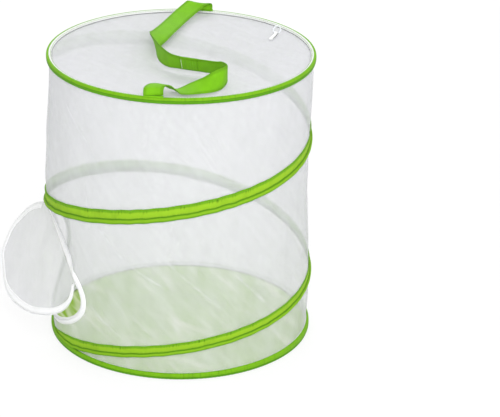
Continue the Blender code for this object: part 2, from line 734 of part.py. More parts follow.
def slider_frame():
    """Middle of the slider on the zip, with its directions along the zip, across and out."""
    curve = offset_curve(door_curve(), 2 * COIL_RADIUS + RIM_GAP)
    lift = RIM_GAP + RIM_CLOTH + CLOTH_GAP + COIL_RADIUS
    end = curve[-1]
    lengths = np.linalg.norm(curve - end, axis=1)
    index = max(i for i in range(len(curve)) if lengths[i] > SLIDER_SETBACK)
    share = (lengths[index] - SLIDER_SETBACK) / (lengths[index] - lengths[index + 1])
    middle_place = curve[index] + (curve[index + 1] - curve[index]) * share
    middle = on_wall(middle_place, lift)
    along = unit(on_wall(middle_place + (curve[index + 1] - curve[index]), lift) - middle)
    out = wall_outward(middle_place)
    across = unit(np.cross(along, out))
    out = unit(np.cross(across, along))
    return middle, along, across, out


def bail_mesh(plate, along, across, out):
    """The slider's bridge: a flat bar bent over the plate, its two feet sunk into it."""
    low, high = 0.0, BAIL_HEIGHT
    outside = [(-BAIL_REACH, low), (-BAIL_REACH, high + BAIL_THICK),
               (BAIL_REACH, high + BAIL_THICK), (BAIL_REACH, low)]
    inside = [(BAIL_THICK - BAIL_REACH, low), (BAIL_THICK - BAIL_REACH, high),
              (BAIL_REACH - BAIL_THICK, high), (BAIL_REACH - BAIL_THICK, low)]
    half = across * BAIL_WIDTH / 2
    sections = []
    for far, near in zip(outside, inside):
        far = plate + along * far[0] + out * far[1]
        near = plate + along * near[0] + out * near[1]
        sections.append([far - half, near - half, near + half, far + half])
    return swept("slider_bail", sections, closed=False)


def make_zip_pieces():
    middle, along, across, out = slider_frame()
    stop_place = middle + along * (SLIDER_LENGTH / 2 + STOP_SIZE / 2 + CLOTH_GAP)
    lift = out * (COIL_RADIUS + CLOTH_GAP + STOP_THICK / 2)
    stop = box_mesh("zip_stop", stop_place + lift, along, across, out,
                    (STOP_SIZE, STOP_SIZE, STOP_THICK))
    carrier = joint_empty("zip_drop_empty", middle)
    add_object("zip_stop", stop, STEEL, 0.35, 1.0, parent=carrier)

    runner = joint_empty("slider_slide_empty", middle)
    plate = middle + out * (COIL_RADIUS + CLOTH_GAP + SLIDER_PLATE / 2)
    body = box_mesh("zip_slider", plate, along, across, out,
                    (SLIDER_LENGTH, SLIDER_WIDTH, SLIDER_PLATE))
    slider = add_object("zip_slider", body, STEEL, 0.35, 1.0, parent=runner)
    fuse(slider, add_object("slider_bail", bail_mesh(plate, along, across, out), STEEL))

    hinge = plate + out * (SLIDER_PLATE / 2 + CLOTH_GAP + PULL_THICK / 2)
    swing = joint_empty("pull_swing_empty", hinge)
    back = -along
    tab = hinge + back * (PULL_LENGTH / 2 - PULL_BAR / 2)
    pull = add_object("zip_pull", box_mesh("zip_pull", tab, back, across, out,
                                           (PULL_LENGTH, PULL_WIDTH, PULL_THICK)), STEEL,
                      0.35, 1.0, parent=swing)
    eye = hinge + back * (PULL_BAR / 2 + PULL_EYE_LENGTH / 2)
    hole = box_mesh("pull_eye", eye, back, across, out,
                    (PULL_EYE_LENGTH, BAIL_WIDTH + 3 * CLOTH_GAP, 3 * PULL_THICK))
    subtract(pull, add_object("pull_eye", hole, STEEL))


# Carrying strap


def strap_sections(stations, thick):
    """Sections of a flat strap through its stations, each with its own width direction."""
    middles = np.array([(x * RING_RADIUS, y * RING_RADIUS, CAGE_HEIGHT + h * STRAP_WIDTH)
                        for x, y, h, _ in stations])
    widths = np.array([unit(w) for _, _, _, w in stations])
    steps = STRAP_STEPS
    path, tilt = smooth_open(middles, steps), smooth_open(widths, steps)
    ahead = np.gradient(path, axis=0)
    sections = []
    for point, wide, way in zip(path, tilt, ahead):
        way = unit(way)
        wide = unit(wide - way * (wide @ way) * 0.5)
        face = unit(np.cross(way, wide))
        w, t = wide * STRAP_WIDTH / 2, face * thick / 2
        sections.append([point - w - t, point + w - t, point + w + t, point - w + t])
    return np.array(sections)


def butted(seam_end, away):
    """A strap's end section that meets the seam face to face, a gap away from it."""
    corner = np.asarray(seam_end)
    middle = corner.mean(axis=0) + away * CLOTH_GAP
    wide = (corner[1] - corner[0]) / 2
    thick = (corner[3] - corner[0]) / 2 * STRAP_CLOTH / SEAM_CLOTH
    return np.array([middle - wide - thick, middle + wide - thick, middle + wide + thick,
                     middle - wide + thick])


def make_handle():
    seam = strap_sections(STRAP_SEAM_SHARES, SEAM_CLOTH)
    way = unit(seam[-1].mean(axis=0) - seam[0].mean(axis=0))
    lift = joint_empty("handle_lift_empty", seam.reshape(-1, 3).mean(axis=0))
    add_object("handle_seam", swept("handle_seam", seam, closed=False), LIME_DEEP, 0.7, parent=lift)

    front = strap_sections(STRAP_FRONT_SHARES, STRAP_CLOTH)
    front[-1] = butted(seam[0], -way)
    add_object("handle_strap_front", swept("handle_strap_front", front, closed=False), LIME, 0.7)
    rear = strap_sections(STRAP_REAR_SHARES, STRAP_CLOTH)
    rear[0] = butted(seam[-1], way)
    add_object("handle_strap_rear", swept("handle_strap_rear", rear, closed=False), LIME, 0.7)
    for name, degrees in (("handle_anchor_front", ANCHOR_FRONT_DEG),
                          ("handle_anchor_rear", ANCHOR_REAR_DEG)):
        angle = math.radians(degrees)
        out = np.array([math.cos(angle), math.sin(angle), 0.0])
        side = np.array([-math.sin(angle), math.cos(angle), 0.0])
        middle = out * RING_MIDDLE
        middle[2] = CAGE_HEIGHT + CLOTH_GAP + ANCHOR_CLOTH / 2
        add_object(name, box_mesh(name, middle, side, out, (0, 0, 1),
                                  (STRAP_WIDTH, ANCHOR_DEPTH, ANCHOR_CLOTH)), LIME_DEEP, 0.7)


# Clear ring on the top


def ribbon_profile(length, bore):
    """Outside and bore of a ribbon folded into a loop, its two layers sewn flat behind it."""
    sides = 12
    turns = (np.arange(sides) + 0.5) * TURN / sides
    round_out = [((bore + RIBBON_CLOTH) * math.cos(t), (bore + RIBBON_CLOTH) * math.sin(t))
                 for t in turns]
    inside = [(bore * math.cos(t), bore * math.sin(t)) for t in turns]
    low = -(bore + RIBBON_CLOTH)
    behind = [i for i, t in enumerate(turns) if math.pi < t < 1.5 * math.pi][-2:]
    round_out[behind[0]] = (-length, low + RIBBON_CLOTH)
    round_out[behind[1]] = (-length, low)
    return round_out, inside


def panel_top(radius):
    """Height of the top panel's upper face at a distance from the axis."""
    reach = (radius - RING_RADIUS / 2) / (RING_RADIUS / 2 - BINDING_SIZE - CLOTH_GAP)
    return TOP_RING_MIDDLE + PANEL_CLOTH / 2 - PANEL_SAG * (1 - min(max(reach, 0), 1))


def make_hang_ring():
    half = RIBBON_WIDTH / 2
    dip = HANG_RING_RADIUS - math.sqrt(HANG_RING_RADIUS ** 2 - half ** 2)
    bore = HANG_RING_WIRE + dip / 2 + 2 * CLOTH_GAP
    ends = []
    for shares in (RIBBON_START_SHARES, RIBBON_END_SHARES):
        plan = np.array(shares) * RING_RADIUS
        height = panel_top(float(np.linalg.norm(plan))) + CLOTH_GAP + bore + RIBBON_CLOTH
        ends.append(np.array([*plan, height]))
    way = unit(ends[1] - ends[0])
    side = unit(np.cross((0.0, 0.0, 1.0), way))
    up = np.cross(way, side)
    eye = ends[1]
    outside, inside = ribbon_profile(float(np.linalg.norm(ends[1] - ends[0])), bore)
    rows = [[eye + side * w + way * x + up * z for x, z in outside] for w in (-half, half)]
    holes = [[eye + side * w + way * x + up * z for x, z in inside] for w in (-half, half)]
    add_object("hang_ribbon", swept_tube("hang_ribbon", rows, holes), TAPE_WHITE, 0.8)

    tilt = math.radians(HANG_RING_TILT_DEG)
    rise = way * math.cos(tilt) + up * math.sin(tilt)
    centre = eye + rise * (HANG_RING_RADIUS - dip / 2)
    pivot = joint_empty("hang_ring_empty", eye)
    sections = []
    for i in range(HANG_RING_STEPS):
        turn = i * TURN / HANG_RING_STEPS
        out = rise * math.cos(turn) + side * math.sin(turn)
        sections.append(circle_section(centre + out * HANG_RING_RADIUS, out,
                                       np.cross(rise, side), HANG_RING_WIRE, COIL_SIDES))
    add_object("hang_ring", swept("hang_ring", sections, closed=True), (0.85, 0.87, 0.9), 0.1,
               alpha=0.5, parent=pivot)


def main():
    clear_scene()
    make_bound_rings()
    make_panels()
    make_side_wall(door_outline())
    make_spiral()
    make_door_rim()
    middle = np.mean(hinge_axis(), axis=0)
    make_hinge_tape(joint_empty("door_drop_empty", middle))
    make_flap(joint_empty("door_swing_empty", middle))
    make_zip_pieces()
    make_handle()
    make_hang_ring()


main()
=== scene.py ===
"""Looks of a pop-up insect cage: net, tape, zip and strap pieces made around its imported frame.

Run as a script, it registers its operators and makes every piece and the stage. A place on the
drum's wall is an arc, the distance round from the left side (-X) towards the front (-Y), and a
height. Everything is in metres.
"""
import json
import math

import bmesh
import bpy
import numpy as np
from mathutils import Matrix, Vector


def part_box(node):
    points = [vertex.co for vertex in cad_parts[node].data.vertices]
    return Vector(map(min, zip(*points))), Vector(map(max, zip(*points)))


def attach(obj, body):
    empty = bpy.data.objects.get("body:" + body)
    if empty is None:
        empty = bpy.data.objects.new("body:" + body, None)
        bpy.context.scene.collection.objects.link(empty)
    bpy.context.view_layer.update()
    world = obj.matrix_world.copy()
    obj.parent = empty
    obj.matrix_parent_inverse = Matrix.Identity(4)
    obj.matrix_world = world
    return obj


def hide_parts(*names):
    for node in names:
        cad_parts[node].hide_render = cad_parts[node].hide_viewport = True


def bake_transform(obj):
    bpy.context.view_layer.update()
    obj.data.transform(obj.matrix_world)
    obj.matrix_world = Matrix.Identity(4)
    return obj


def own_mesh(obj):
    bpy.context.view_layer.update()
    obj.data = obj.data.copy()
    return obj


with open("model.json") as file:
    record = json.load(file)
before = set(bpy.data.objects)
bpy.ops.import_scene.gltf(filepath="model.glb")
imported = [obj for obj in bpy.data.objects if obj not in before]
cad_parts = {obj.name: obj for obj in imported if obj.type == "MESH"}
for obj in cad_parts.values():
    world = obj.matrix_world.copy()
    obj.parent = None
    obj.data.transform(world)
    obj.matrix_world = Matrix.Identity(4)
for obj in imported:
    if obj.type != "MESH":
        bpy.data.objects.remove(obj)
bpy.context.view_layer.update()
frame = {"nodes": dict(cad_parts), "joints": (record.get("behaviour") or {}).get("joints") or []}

bl_info = {
    "name": "Pop-up insect cage",
    "version": (1, 0, 0),
    "blender": (4, 5, 0),
    "location": "View3D > Sidebar > Cage",
    "description": "Makes the net, tape, zip and strap pieces of a pop-up insect cage",
    "category": "Add Mesh",
}

MM = 0.001
TURN = 2.0 * math.pi
UP = np.array([0.0, 0.0, 1.0])

# What the frame gives
JOINTS = {joint["name"]: joint for joint in frame["joints"]}
RING_CORNERS = 48
LOW_RING_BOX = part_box("bottom_binding")
TOP_RING_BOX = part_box("top_binding")
RING_OUTSIDE = TOP_RING_BOX[1].x / math.cos(math.pi / RING_CORNERS)
FOLD_MIDDLE = np.array(JOINTS["door_swing"]["pos_m"])
PULL_PIVOT = np.array(JOINTS["pull_swing"]["pos_m"])
ZIP_ALONG = -np.array(JOINTS["zip_slide"]["axis"])
ZIP_ACROSS = -np.array(JOINTS["pull_swing"]["axis"])
RING_PIVOT = np.array(JOINTS["ring_flip"]["pos_m"])
RING_SIDE = np.array(JOINTS["ring_flip"]["axis"])

# The spiral, two turns from the top ring down to the bottom ring
SPIRAL_TURNS = 2.0
SPIRAL_START = math.radians(-167)
SPIRAL_TRIM_SHARE = 0.011
BAND_SHARES = (0.002, 1.024)
BAND_TAPER_SHARE = 0.045
LIFT_MEAN, LIFT_BACK, LIFT_LEFT, LIFT_SIDES = 2.5 * MM, 4.8 * MM, 2.2 * MM, 2.8 * MM
LIFT_FADE_SHARE = 0.08
BAND_LEAST = 6.5 * MM

# The door, a D whose straight side runs down the wall from the top corner to the front
FOLD_TOP_SHARES = (0.345, 1.0)
FOLD_FRONT_SHARES = (0.937, 0.579)
DOOR_CURVE_SHARES = (
    (0.979, 0.497), (1.0, 0.399), (0.980, 0.290), (0.908, 0.182), (0.804, 0.098),
    (0.670, 0.030), (0.507, 0.0), (0.335, 0.022), (0.172, 0.120), (0.048, 0.265),
    (0.0, 0.455), (0.029, 0.640), (0.115, 0.812), (0.239, 0.951),
)

# The strap: its middle as shares of the ring radius across and back, its height above the top
# ring as a share of its width, and the direction from its lower edge to its upper edge
STRAP_FRONT = (
    (-0.196, -0.960, 0.080, (-1.0, 0.0, 0.0)),
    (-0.196, -0.960, 0.220, (-1.0, 0.03, 0.0)),
    (-0.193, -0.946, 0.385, (-0.98, 0.20, 0.0)),
    (-0.172, -0.908, 0.455, (-0.84, 0.54, -0.08)),
    (-0.133, -0.882, 0.429, (-0.60, 0.78, -0.19)),
    (-0.097, -0.867, 0.316, (-0.42, 0.87, -0.27)),
    (-0.064, -0.858, 0.150, (-0.31, 0.91, -0.26)),
    (-0.026, -0.853, 0.030, (-0.22, 0.96, -0.15)),
    (0.020, -0.861, 0.075, (-0.16, 0.99, 0.05)),
    (0.074, -0.857, 0.160, (-0.12, 0.96, 0.26)),
    (0.133, -0.845, 0.242, (-0.08, 0.90, 0.44)),
    (0.191, -0.836, 0.345, (-0.06, 0.76, 0.64)),
    (0.250, -0.807, 0.447, (-0.05, 0.53, 0.85)),
    (0.301, -0.753, 0.516, (-0.02, 0.17, 0.98)),
    (0.325, -0.671, 0.505, (0.0, -0.28, 0.96)),
    (0.285, -0.560, 0.46, (0.0, -0.50, 0.86)),
    (0.205, -0.525, 0.46, (-0.03, -0.52, 0.85)),
    (0.110, -0.485, 0.46, (0.0, -0.55, 0.84)),
)
STRAP_SEAM = (
    (0.110, -0.485, 0.46, (0.0, -0.55, 0.84)),
    (0.0, -0.440, 0.46, (0.0, -0.55, 0.84)),
)
STRAP_REAR = (
    (0.0, -0.440, 0.46, (0.0, -0.55, 0.84)),
    (-0.090, -0.375, 0.46, (0.08, -0.48, 0.87)),
    (-0.155, -0.245, 0.46, (0.05, -0.35, 0.93)),
    (-0.190, -0.085, 0.46, (-0.15, -0.30, 0.94)),
    (-0.195, 0.085, 0.42, (-0.55, -0.30, 0.75)),
    (-0.155, 0.275, 0.26, (-0.90, -0.10, 0.36)),
    (-0.095, 0.475, 0.18, (-0.96, 0.12, 0.22)),
    (-0.015, 0.700, 0.20, (-0.96, 0.16, 0.20)),
    (0.070, 0.865, 0.36, (-0.95, 0.18, 0.22)),
    (0.118, 0.920, 0.48, (-0.96, 0.19, 0.10)),
    (0.165, 0.944, 0.36, (-0.98, 0.18, 0.03)),
    (0.168, 0.943, 0.085, (-0.984, 0.176, 0.0)),
)
TAB_FRONT_DEG = -101.5
TAB_REAR_DEG = 79.9

FOLD_STEP = 5 * MM              # how far the net steps in above the fold, to lean its tape back
TAPE_CROWN = 1.0 * MM           # how far a sewn tape rises along its middle
# Shares of the hem's run from the fold's front end, and the share of its width at each
HEM_WIDTHS = (0, 0.10, 0.42, 0.55, 0.75, 1), (0.3, 1.0, 1.0, 0.6, 0.7, 0.95)

# Soft folds of a cloth: direction in degrees, wavelength and height
WALL_FOLDS = ((8, 71 * MM, 0.40 * MM), (-34, 52 * MM, 0.32 * MM), (52, 63 * MM, 0.30 * MM),
              (81, 97 * MM, 0.25 * MM))
PANEL_FOLDS = ((15, 83 * MM, 0.25 * MM), (74, 61 * MM, 0.20 * MM), (-49, 47 * MM, 0.15 * MM))
FLAP_FOLDS = ((21, 74 * MM, 0.7 * MM), (-58, 49 * MM, 0.5 * MM), (88, 38 * MM, 0.3 * MM))
# Sharp creases that packing left in the wall: each from one place to another
WALL_CREASES = (
    ((95 * MM, 353 * MM), (147 * MM, 309 * MM)),
    ((147 * MM, 309 * MM), (162 * MM, 284 * MM)),
    ((167 * MM, 199 * MM), (203 * MM, 161 * MM)),
    ((203 * MM, 161 * MM), (251 * MM, 130 * MM)),
    ((137 * MM, 87 * MM), (195 * MM, 47 * MM)),
    ((249 * MM, 176 * MM), (326 * MM, 96 * MM)),
    ((339 * MM, 150 * MM), (420 * MM, 60 * MM)),
    ((144 * MM, 259 * MM), (152 * MM, 192 * MM)),
)

SHEEN_TINT = (0.75, 1.0, 0.35, 1.0)

# Stitches: length, pitch, width and height of each kind of seam
RING_STITCH = (2.4 * MM, 3.4 * MM)
BAND_STITCH = (2.3 * MM, 3.3 * MM, 0.55 * MM, 0.4 * MM)
WHITE_STITCH = (2.2 * MM, 3.2 * MM, 0.6 * MM, 0.4 * MM)
STRAP_STITCH = (2.4 * MM, 3.6 * MM, 0.6 * MM, 0.4 * MM)
SEAM_STITCH = (1.9 * MM, 2.3 * MM, 0.8 * MM, 0.5 * MM)
TAB_STITCH = (1.8 * MM, 2.6 * MM, 0.6 * MM, 0.4 * MM)
TAPE_GAP = 0.15 * MM            # from the net out to the underside of a tape sewn on it
BAND_GAP = 0.35 * MM            # from the wall out to the spiral tape's front layer
SEAM_INSET = 1.6 * MM           # from a tape's edge in to its row of stitches

# Stage: the light of the world, the lamps and the camera of the photograph
WORLD_LIGHT = 0.76
LAMPS = (  # name, place, power and size
    ("key_lamp", (0.2, -2.4, 1.9), 56.0, 1.4),
    ("side_lamp", (2.1, -0.5, 1.5), 7.0, 0.9),
    ("back_lamp", (-0.3, 2.0, 2.0), 24.0, 1.4),
)
LAMP_AIM = (0.0, 0.0, 0.2)
CAMERA_PLACE = (0.0, -2.758, 1.3615)
CAMERA_LENS = 162.1
CAMERA_DOWN_DEG, CAMERA_ASIDE_DEG, CAMERA_ROLL_DEG = 23.42, -1.92, 1.03

# Fineness of the meshes
WALL_COLUMNS = 336
WALL_ROWS = 116
RING_STATIONS = 640
BAND_STATIONS = 1680


# Sizes and colours that a user would change


def size(label, description, default):
    """A length that can't be less than nothing."""
    return bpy.props.FloatProperty(name=label, description=description, default=default,
                                   min=0.0, precision=4, unit="LENGTH")


def colour(label, description, default):
    """A colour without its alpha."""
    return bpy.props.FloatVectorProperty(name=label, description=description, default=default,
                                         min=0.0, max=1.0, size=3, subtype="COLOR")


class CageDrum(bpy.types.PropertyGroup):
    """Sizes of the drum: its rings, its wall and the spiral band."""

    height: size("Height", "Height of the drum", TOP_RING_BOX[1].z)
    ring_radius: size("Ring radius", "Outside radius of the bound hoops", RING_OUTSIDE)
    ring_size: size("Ring size", "Height and depth of the bound edge", LOW_RING_BOX[1].z)
    ring_cloth: size("Ring tape", "Thickness of the tape folded over the hoops", 0.7 * MM)
    setback: size("Wall setback", "From the hoops' outside in to the net", 4 * MM)
    bulge: size("Wall bulge", "How much wider the net stands at mid height", 2.5 * MM)
    lean: size("Wall lean", "How far the middle of the drum leans to the left", 5.2 * MM)
    lean_start: size("Lean start", "Height above which the wall leans", 60 * MM)
    net: size("Net", "Thickness of the net", 0.35 * MM)
    sag: size("Top sag", "How far the top net sinks in its middle", 2.2 * MM)
    floor: size("Floor", "Thickness of the floor cloth", 0.8 * MM)
    band_top: size("Band width, top", "Width of the spiral tape on its upper turn", 19.5 * MM)
    band_low: size("Band width, low", "Width of the spiral tape on its lower turn", 16 * MM)
    band_cloth: size("Band cloth", "Thickness of the spiral tape", 0.55 * MM)
    tunnel: size("Tunnel", "Height of the tunnel that the wire runs in", 6.6 * MM)
    tunnel_out: size("Tunnel depth", "How far the tunnel stands out", 3.9 * MM)
    wire: size("Wire", "Radius of the spring wire", 0.9 * MM)
    pucker: size("Puckers", "Distance from one pucker of the tape to the next", 4.3 * MM)


class CageDoor(bpy.types.PropertyGroup):
    """Sizes of the door, its flap and its zip."""

    rear_arc: bpy.props.FloatProperty(name="Rear arc", description="Arc of the door's rear edge",
                                      default=-79 * MM, unit="LENGTH")
    width: size("Width", "Width of the door round the wall", 206 * MM)
    low: size("Low edge", "Height of the door's lowest point", 30 * MM)
    tall: size("Height", "Height of the door", 140 * MM)
    open_deg: bpy.props.FloatProperty(name="Opening", description="How far the flap hangs open",
                                      default=30.0)
    inset: size("Inset", "Clearance of the flap inside the opening", 2.6 * MM)
    rim: size("Rim tape", "Width of the tape round the opening", 9 * MM)
    fold: size("Fold tape", "Width of the tape along the fold", 10.5 * MM)
    hem: size("Hem", "Width of the flap's hem", 8 * MM)
    tape: size("Tape", "Thickness of the white tape", 1.2 * MM)
    coil: size("Coil", "Radius of the zip's coil", 1.0 * MM)
    coil_lift: size("Coil lift", "From the net out to the middle of the coil", 2.9 * MM)
    coil_pitch: size("Coil pitch", "Distance from one turn of the coil to the next", 1.5 * MM)


class CageStrap(bpy.types.PropertyGroup):
    """Sizes of the carrying strap."""

    width: size("Width", "Width of the strap", 25 * MM)
    cloth: size("Thickness", "Thickness of the folded strap", 1.5 * MM)
    seam: size("Seam", "Thickness where the strap's halves overlap", 3.2 * MM)
    tab: size("Tab", "Depth of the tab sewn to the ring", 6 * MM)


class CageColours(bpy.types.PropertyGroup):
    """Colours of the cloths and fittings."""

    net: colour("Net", "Colour of the net", (0.82, 0.82, 0.85))
    # The spiral tape's colours are painted light and shade. Its middle is painted lit. Its edge
    # colour and its shade colour are painted shade at its edges, between its puckers and along the
    # seam's groove. Its reverse is its own lime painted paler, as light shining through the cloth.
    band: colour("Band", "Lime of the spiral tape's middle", (0.33, 0.58, 0.02))
    band_edge_shade: colour("Band edge", "Lime of the spiral tape's edges", (0.16, 0.40, 0.006))
    band_back_painted_glow: colour("Band back", "Reverse of the spiral tape, under white net",
                      (0.62, 0.93, 0.28))
    band_deep_shade: colour("Band shade", "Lime between the puckers and along the seam",
                      (0.07, 0.21, 0.001))
    # The ring tape's colour on top is painted light, and its side colour is painted shade down the
    # outer side of the bound edges.
    ring: colour("Ring tape", "Lime on top of the bound edges", (0.155, 0.385, 0.003))
    ring_side_shade: colour("Ring side", "Lime down the side of the bound edges", (0.085, 0.28, 0.001))
    strap: colour("Strap", "Lime of the strap", (0.17, 0.47, 0.002))
    floor: colour("Floor", "Green of the floor cloth", (0.34, 0.62, 0.012))
    tape: colour("White tape", "White of the door's tapes", (0.87, 0.87, 0.885))
    coil: colour("Coil", "White of the zip's coils", (0.88, 0.88, 0.89))
    metal: colour("Zip metal", "Enamel of the slider and its tab", (0.74, 0.75, 0.77))
    steel: colour("Steel", "Spring steel", (0.46, 0.47, 0.49))
    plastic: colour("Clear ring", "Tint of the clear ring", (0.88, 0.90, 0.93))
    thread: colour("Thread", "Colour of the stitches at the strap's seam", (0.82, 0.86, 0.70))


def drum():
    """The user's sizes of the drum."""
    return bpy.context.scene.cage_drum


def door():
    """The user's sizes of the door."""
    return bpy.context.scene.cage_door


def strap():
    """The user's sizes of the strap."""
    return bpy.context.scene.cage_strap


def tint(name):
    """One of the user's colours, with its alpha."""
    return (*getattr(bpy.context.scene.cage_colours, name), 1.0)


# Shapes as arrays


def unit(vectors):
    """Vectors divided by their lengths."""
    vectors = np.asarray(vectors, float)
    return vectors / np.linalg.norm(vectors, axis=-1, keepdims=True)


def ease(share):
    """A smooth step: 0 below 0, 1 above 1, and 3s^2 - 2s^3 between."""
    share = np.clip(share, 0, 1)
    return share * share * (3 - 2 * share)


def squared(values, power):
    """A sine or cosine raised to a power that keeps its sign: the smaller, the squarer."""
    return np.sign(values) * np.abs(values) ** power


def curve_through(points, steps):
    """Catmull-Rom curve: between two points, the cubic whose slopes are half the way from the
    point before to the point after."""
    points = np.asarray(points, float)
    padded = np.vstack([2 * points[0] - points[1], points, 2 * points[-1] - points[-2]])
    a, b, c, d = (padded[i:len(padded) - 3 + i, None] for i in range(4))
    t = (np.arange(steps) / steps)[None, :, None]
    cubic = 0.5 * (2 * b + (c - a) * t + (2 * a - 5 * b + 4 * c - d) * t ** 2
                   + (3 * b - a - 3 * c + d) * t ** 3)
    return np.vstack([cubic.reshape(-1, points.shape[1]), points[-1]])


def lengths_along(points):
    """Distance from a row's first point to each of its points."""
    steps = np.linalg.norm(np.diff(points, axis=0), axis=1)
    return np.concatenate([[0.0], np.cumsum(steps)])


def spaced(points, count):
    """The same row with a count of points at equal distances."""
    along = lengths_along(points)
    wanted = np.linspace(0, along[-1], count)
    return np.stack([np.interp(wanted, along, column) for column in points.T], -1)


def offset_curve(curve, distance):
    """A flat curve moved square to itself, to the left of its direction."""
    way = unit(np.gradient(curve, axis=0))
    return curve + distance * np.stack([-way[:, 1], way[:, 0]], -1)


def ribbon_outline(path, thickness):
    """Closed outline of a ribbon seen end on: its middle line moved half the thickness to
    either side."""
    way = unit(np.gradient(np.asarray(path, float), axis=0))
    side = np.stack([-way[:, 1], way[:, 0]], -1) * thickness / 2
    outline = np.vstack([path + side, (path - side)[::-1]])
    return np.vstack([outline, outline[:1]])


def ribbon_across(path):
    """Lengths along a ribbon's middle line for each point of its outline."""
    along = lengths_along(path)
    return np.concatenate([along, along[::-1], along[:1]])


def capped(points):
    """A tube's grid with its first and last rows drawn together to their middles."""
    first, last = (np.broadcast_to(row.mean(axis=0), row.shape) for row in (points[0], points[-1]))
    return np.concatenate([first[None], points, last[None]])


def turned(points, centre, axis, angle):
    """Points turned about a line through a centre, by the right-hand rule."""
    rest = points - centre
    return (centre + rest * math.cos(angle) + np.cross(axis, rest) * math.sin(angle)
            + np.multiply.outer(rest @ axis, axis) * (1 - math.cos(angle)))


def uneven_waves(along, pitch):
    """A sine whose pitch wanders by two slower sines, so that no two waves are alike."""
    phase = along / pitch + 0.42 * np.sin(TURN * along / (13.7 * pitch))
    phase = phase + 0.23 * np.sin(TURN * along / (4.3 * pitch) + 1.3)
    return np.sin(TURN * phase)


def cloth_folds(u, v, folds):
    """Sum of sine waves, each with its own direction, wavelength and height."""
    total = np.zeros(np.broadcast(u, v).shape)
    for number, (degrees, wavelength, height) in enumerate(folds):
        angle = math.radians(degrees)
        run = u * math.cos(angle) + v * math.sin(angle)
        bend = 0.12 * np.sin(TURN * (v * math.cos(angle) - u * math.sin(angle)) / wavelength / 2.7)
        total += height * np.sin(TURN * (run / wavelength + bend) + 1.7 * number)
    return total


def ridge(places, start, end, width):
    """A rounded ridge along a straight line: a bell curve of the distance from it."""
    start, end = np.asarray(start), np.asarray(end)
    way = end - start
    share = np.clip(((places - start) @ way) / (way @ way), 0, 1)
    away = np.linalg.norm(places - start - share[..., None] * way, axis=-1)
    return np.exp(-(away / width) ** 2) * np.sin(math.pi * np.clip(share, 0.03, 0.97)) ** 0.5


# Meshes from arrays


def mesh_piece(name, grids, finish, facing=None, thickness=0.0):
    """An object from grids of points, each with the same grid of UVs: every square of four
    neighbours is a face, and points that coincide are merged. An open sheet is turned so that
    its faces look the way that facing gives for their middles."""
    places, maps, quads, base = [], [], [], 0
    for points, uv in grids:
        rows, columns = points.shape[:2]
        index = base + np.arange(rows * columns).reshape(rows, columns)
        corners = (index[:-1, :-1], index[:-1, 1:], index[1:, 1:], index[1:, :-1])
        quads.append(np.stack([c.ravel() for c in corners], -1))
        places.append(points.reshape(-1, 3))
        maps.append(np.broadcast_to(uv, (rows, columns, 2)).reshape(-1, 2))
        base += rows * columns
    quads, places, maps = np.concatenate(quads), np.concatenate(places), np.concatenate(maps)
    mesh = bpy.data.meshes.new(name)
    mesh.vertices.add(len(places))
    mesh.vertices.foreach_set("co", places.astype(np.float32).ravel())
    mesh.loops.add(quads.size)
    mesh.loops.foreach_set("vertex_index", quads.astype(np.int32).ravel())
    mesh.polygons.add(len(quads))
    mesh.polygons.foreach_set("loop_start", np.arange(0, quads.size, 4, dtype=np.int32))
    mesh.update(calc_edges=True)
    layer = mesh.uv_layers.new(name="UVMap")
    layer.data.foreach_set("uv", maps[quads.ravel()].astype(np.float32).ravel())
    shape = bmesh.new()
    shape.from_mesh(mesh)
    bmesh.ops.remove_doubles(shape, verts=shape.verts, dist=2e-6)
    bmesh.ops.recalc_face_normals(shape, faces=shape.faces)
    shape.to_mesh(mesh)
    shape.free()
    if facing is not None:
        found = np.empty((2, len(mesh.polygons) * 3), np.float32)
        mesh.polygons.foreach_get("center", found[0])
        mesh.polygons.foreach_get("normal", found[1])
        middles, normals = found.reshape(2, -1, 3)
        if np.sum(facing(middles) * normals) < 0:
            mesh.flip_normals()
    mesh.shade_smooth()
    mesh.materials.append(finish)
    item = bpy.data.objects.new(name, mesh)
    bpy.context.scene.collection.objects.link(item)
    if thickness:
        shell = item.modifiers.new("Thickness", "SOLIDIFY")
        shell.thickness = thickness
        shell.offset = -1.0
    return item


def tube(path, radius, sides, side_hint=UP):
    """Grid of a round bar along a path: circles square to it, started from one direction."""
    way = unit(np.gradient(path, axis=0))
    side = unit(np.cross(way, np.broadcast_to(side_hint, way.shape)))
    rise = np.cross(side, way)
    turn = np.linspace(0, TURN, sides + 1)
    ring = (np.cos(turn)[None, :, None] * side[:, None]
            + np.sin(turn)[None, :, None] * rise[:, None])
    along = lengths_along(path)
    points = path[:, None] + np.asarray(radius).reshape(-1, 1, 1) * ring
    uv = np.stack(np.broadcast_arrays(along[:, None], turn[None, :] / TURN * sides * MM), -1)
    return points, uv


def closed_ends(grid):
    """A tube's grid and UVs with both ends drawn together."""
    points, uv = grid
    return capped(points), np.concatenate([uv[:1], uv, uv[-1:]])


def stitch_grid(starts, ends, outward, width, height):
    """Grids of short threads: each is a bar with pinched ends that bulges outwards."""
    way = unit(ends - starts)
    side = np.cross(outward, way)
    share = np.array([0.0, 0.12, 0.5, 0.88, 1.0])
    girth = np.array([0.0, 0.75, 1.0, 0.75, 0.0])
    turn = np.linspace(0, TURN, 5) + TURN / 8
    middle = starts[:, None] + (ends - starts)[:, None] * share[None, :, None]
    lift = np.sin(math.pi * share)[None, :, None] * outward[:, None] * height * 0.5
    ring = (np.cos(turn)[None, :, None] * side[:, None] * width / 2
            + np.sin(turn)[None, :, None] * outward[:, None] * height / 2)
    points = (middle + lift)[:, :, None] + girth[None, :, None, None] * ring[:, None]
    uv = np.zeros((len(share), len(turn), 2))
    return [(points[i], uv) for i in range(len(points))]


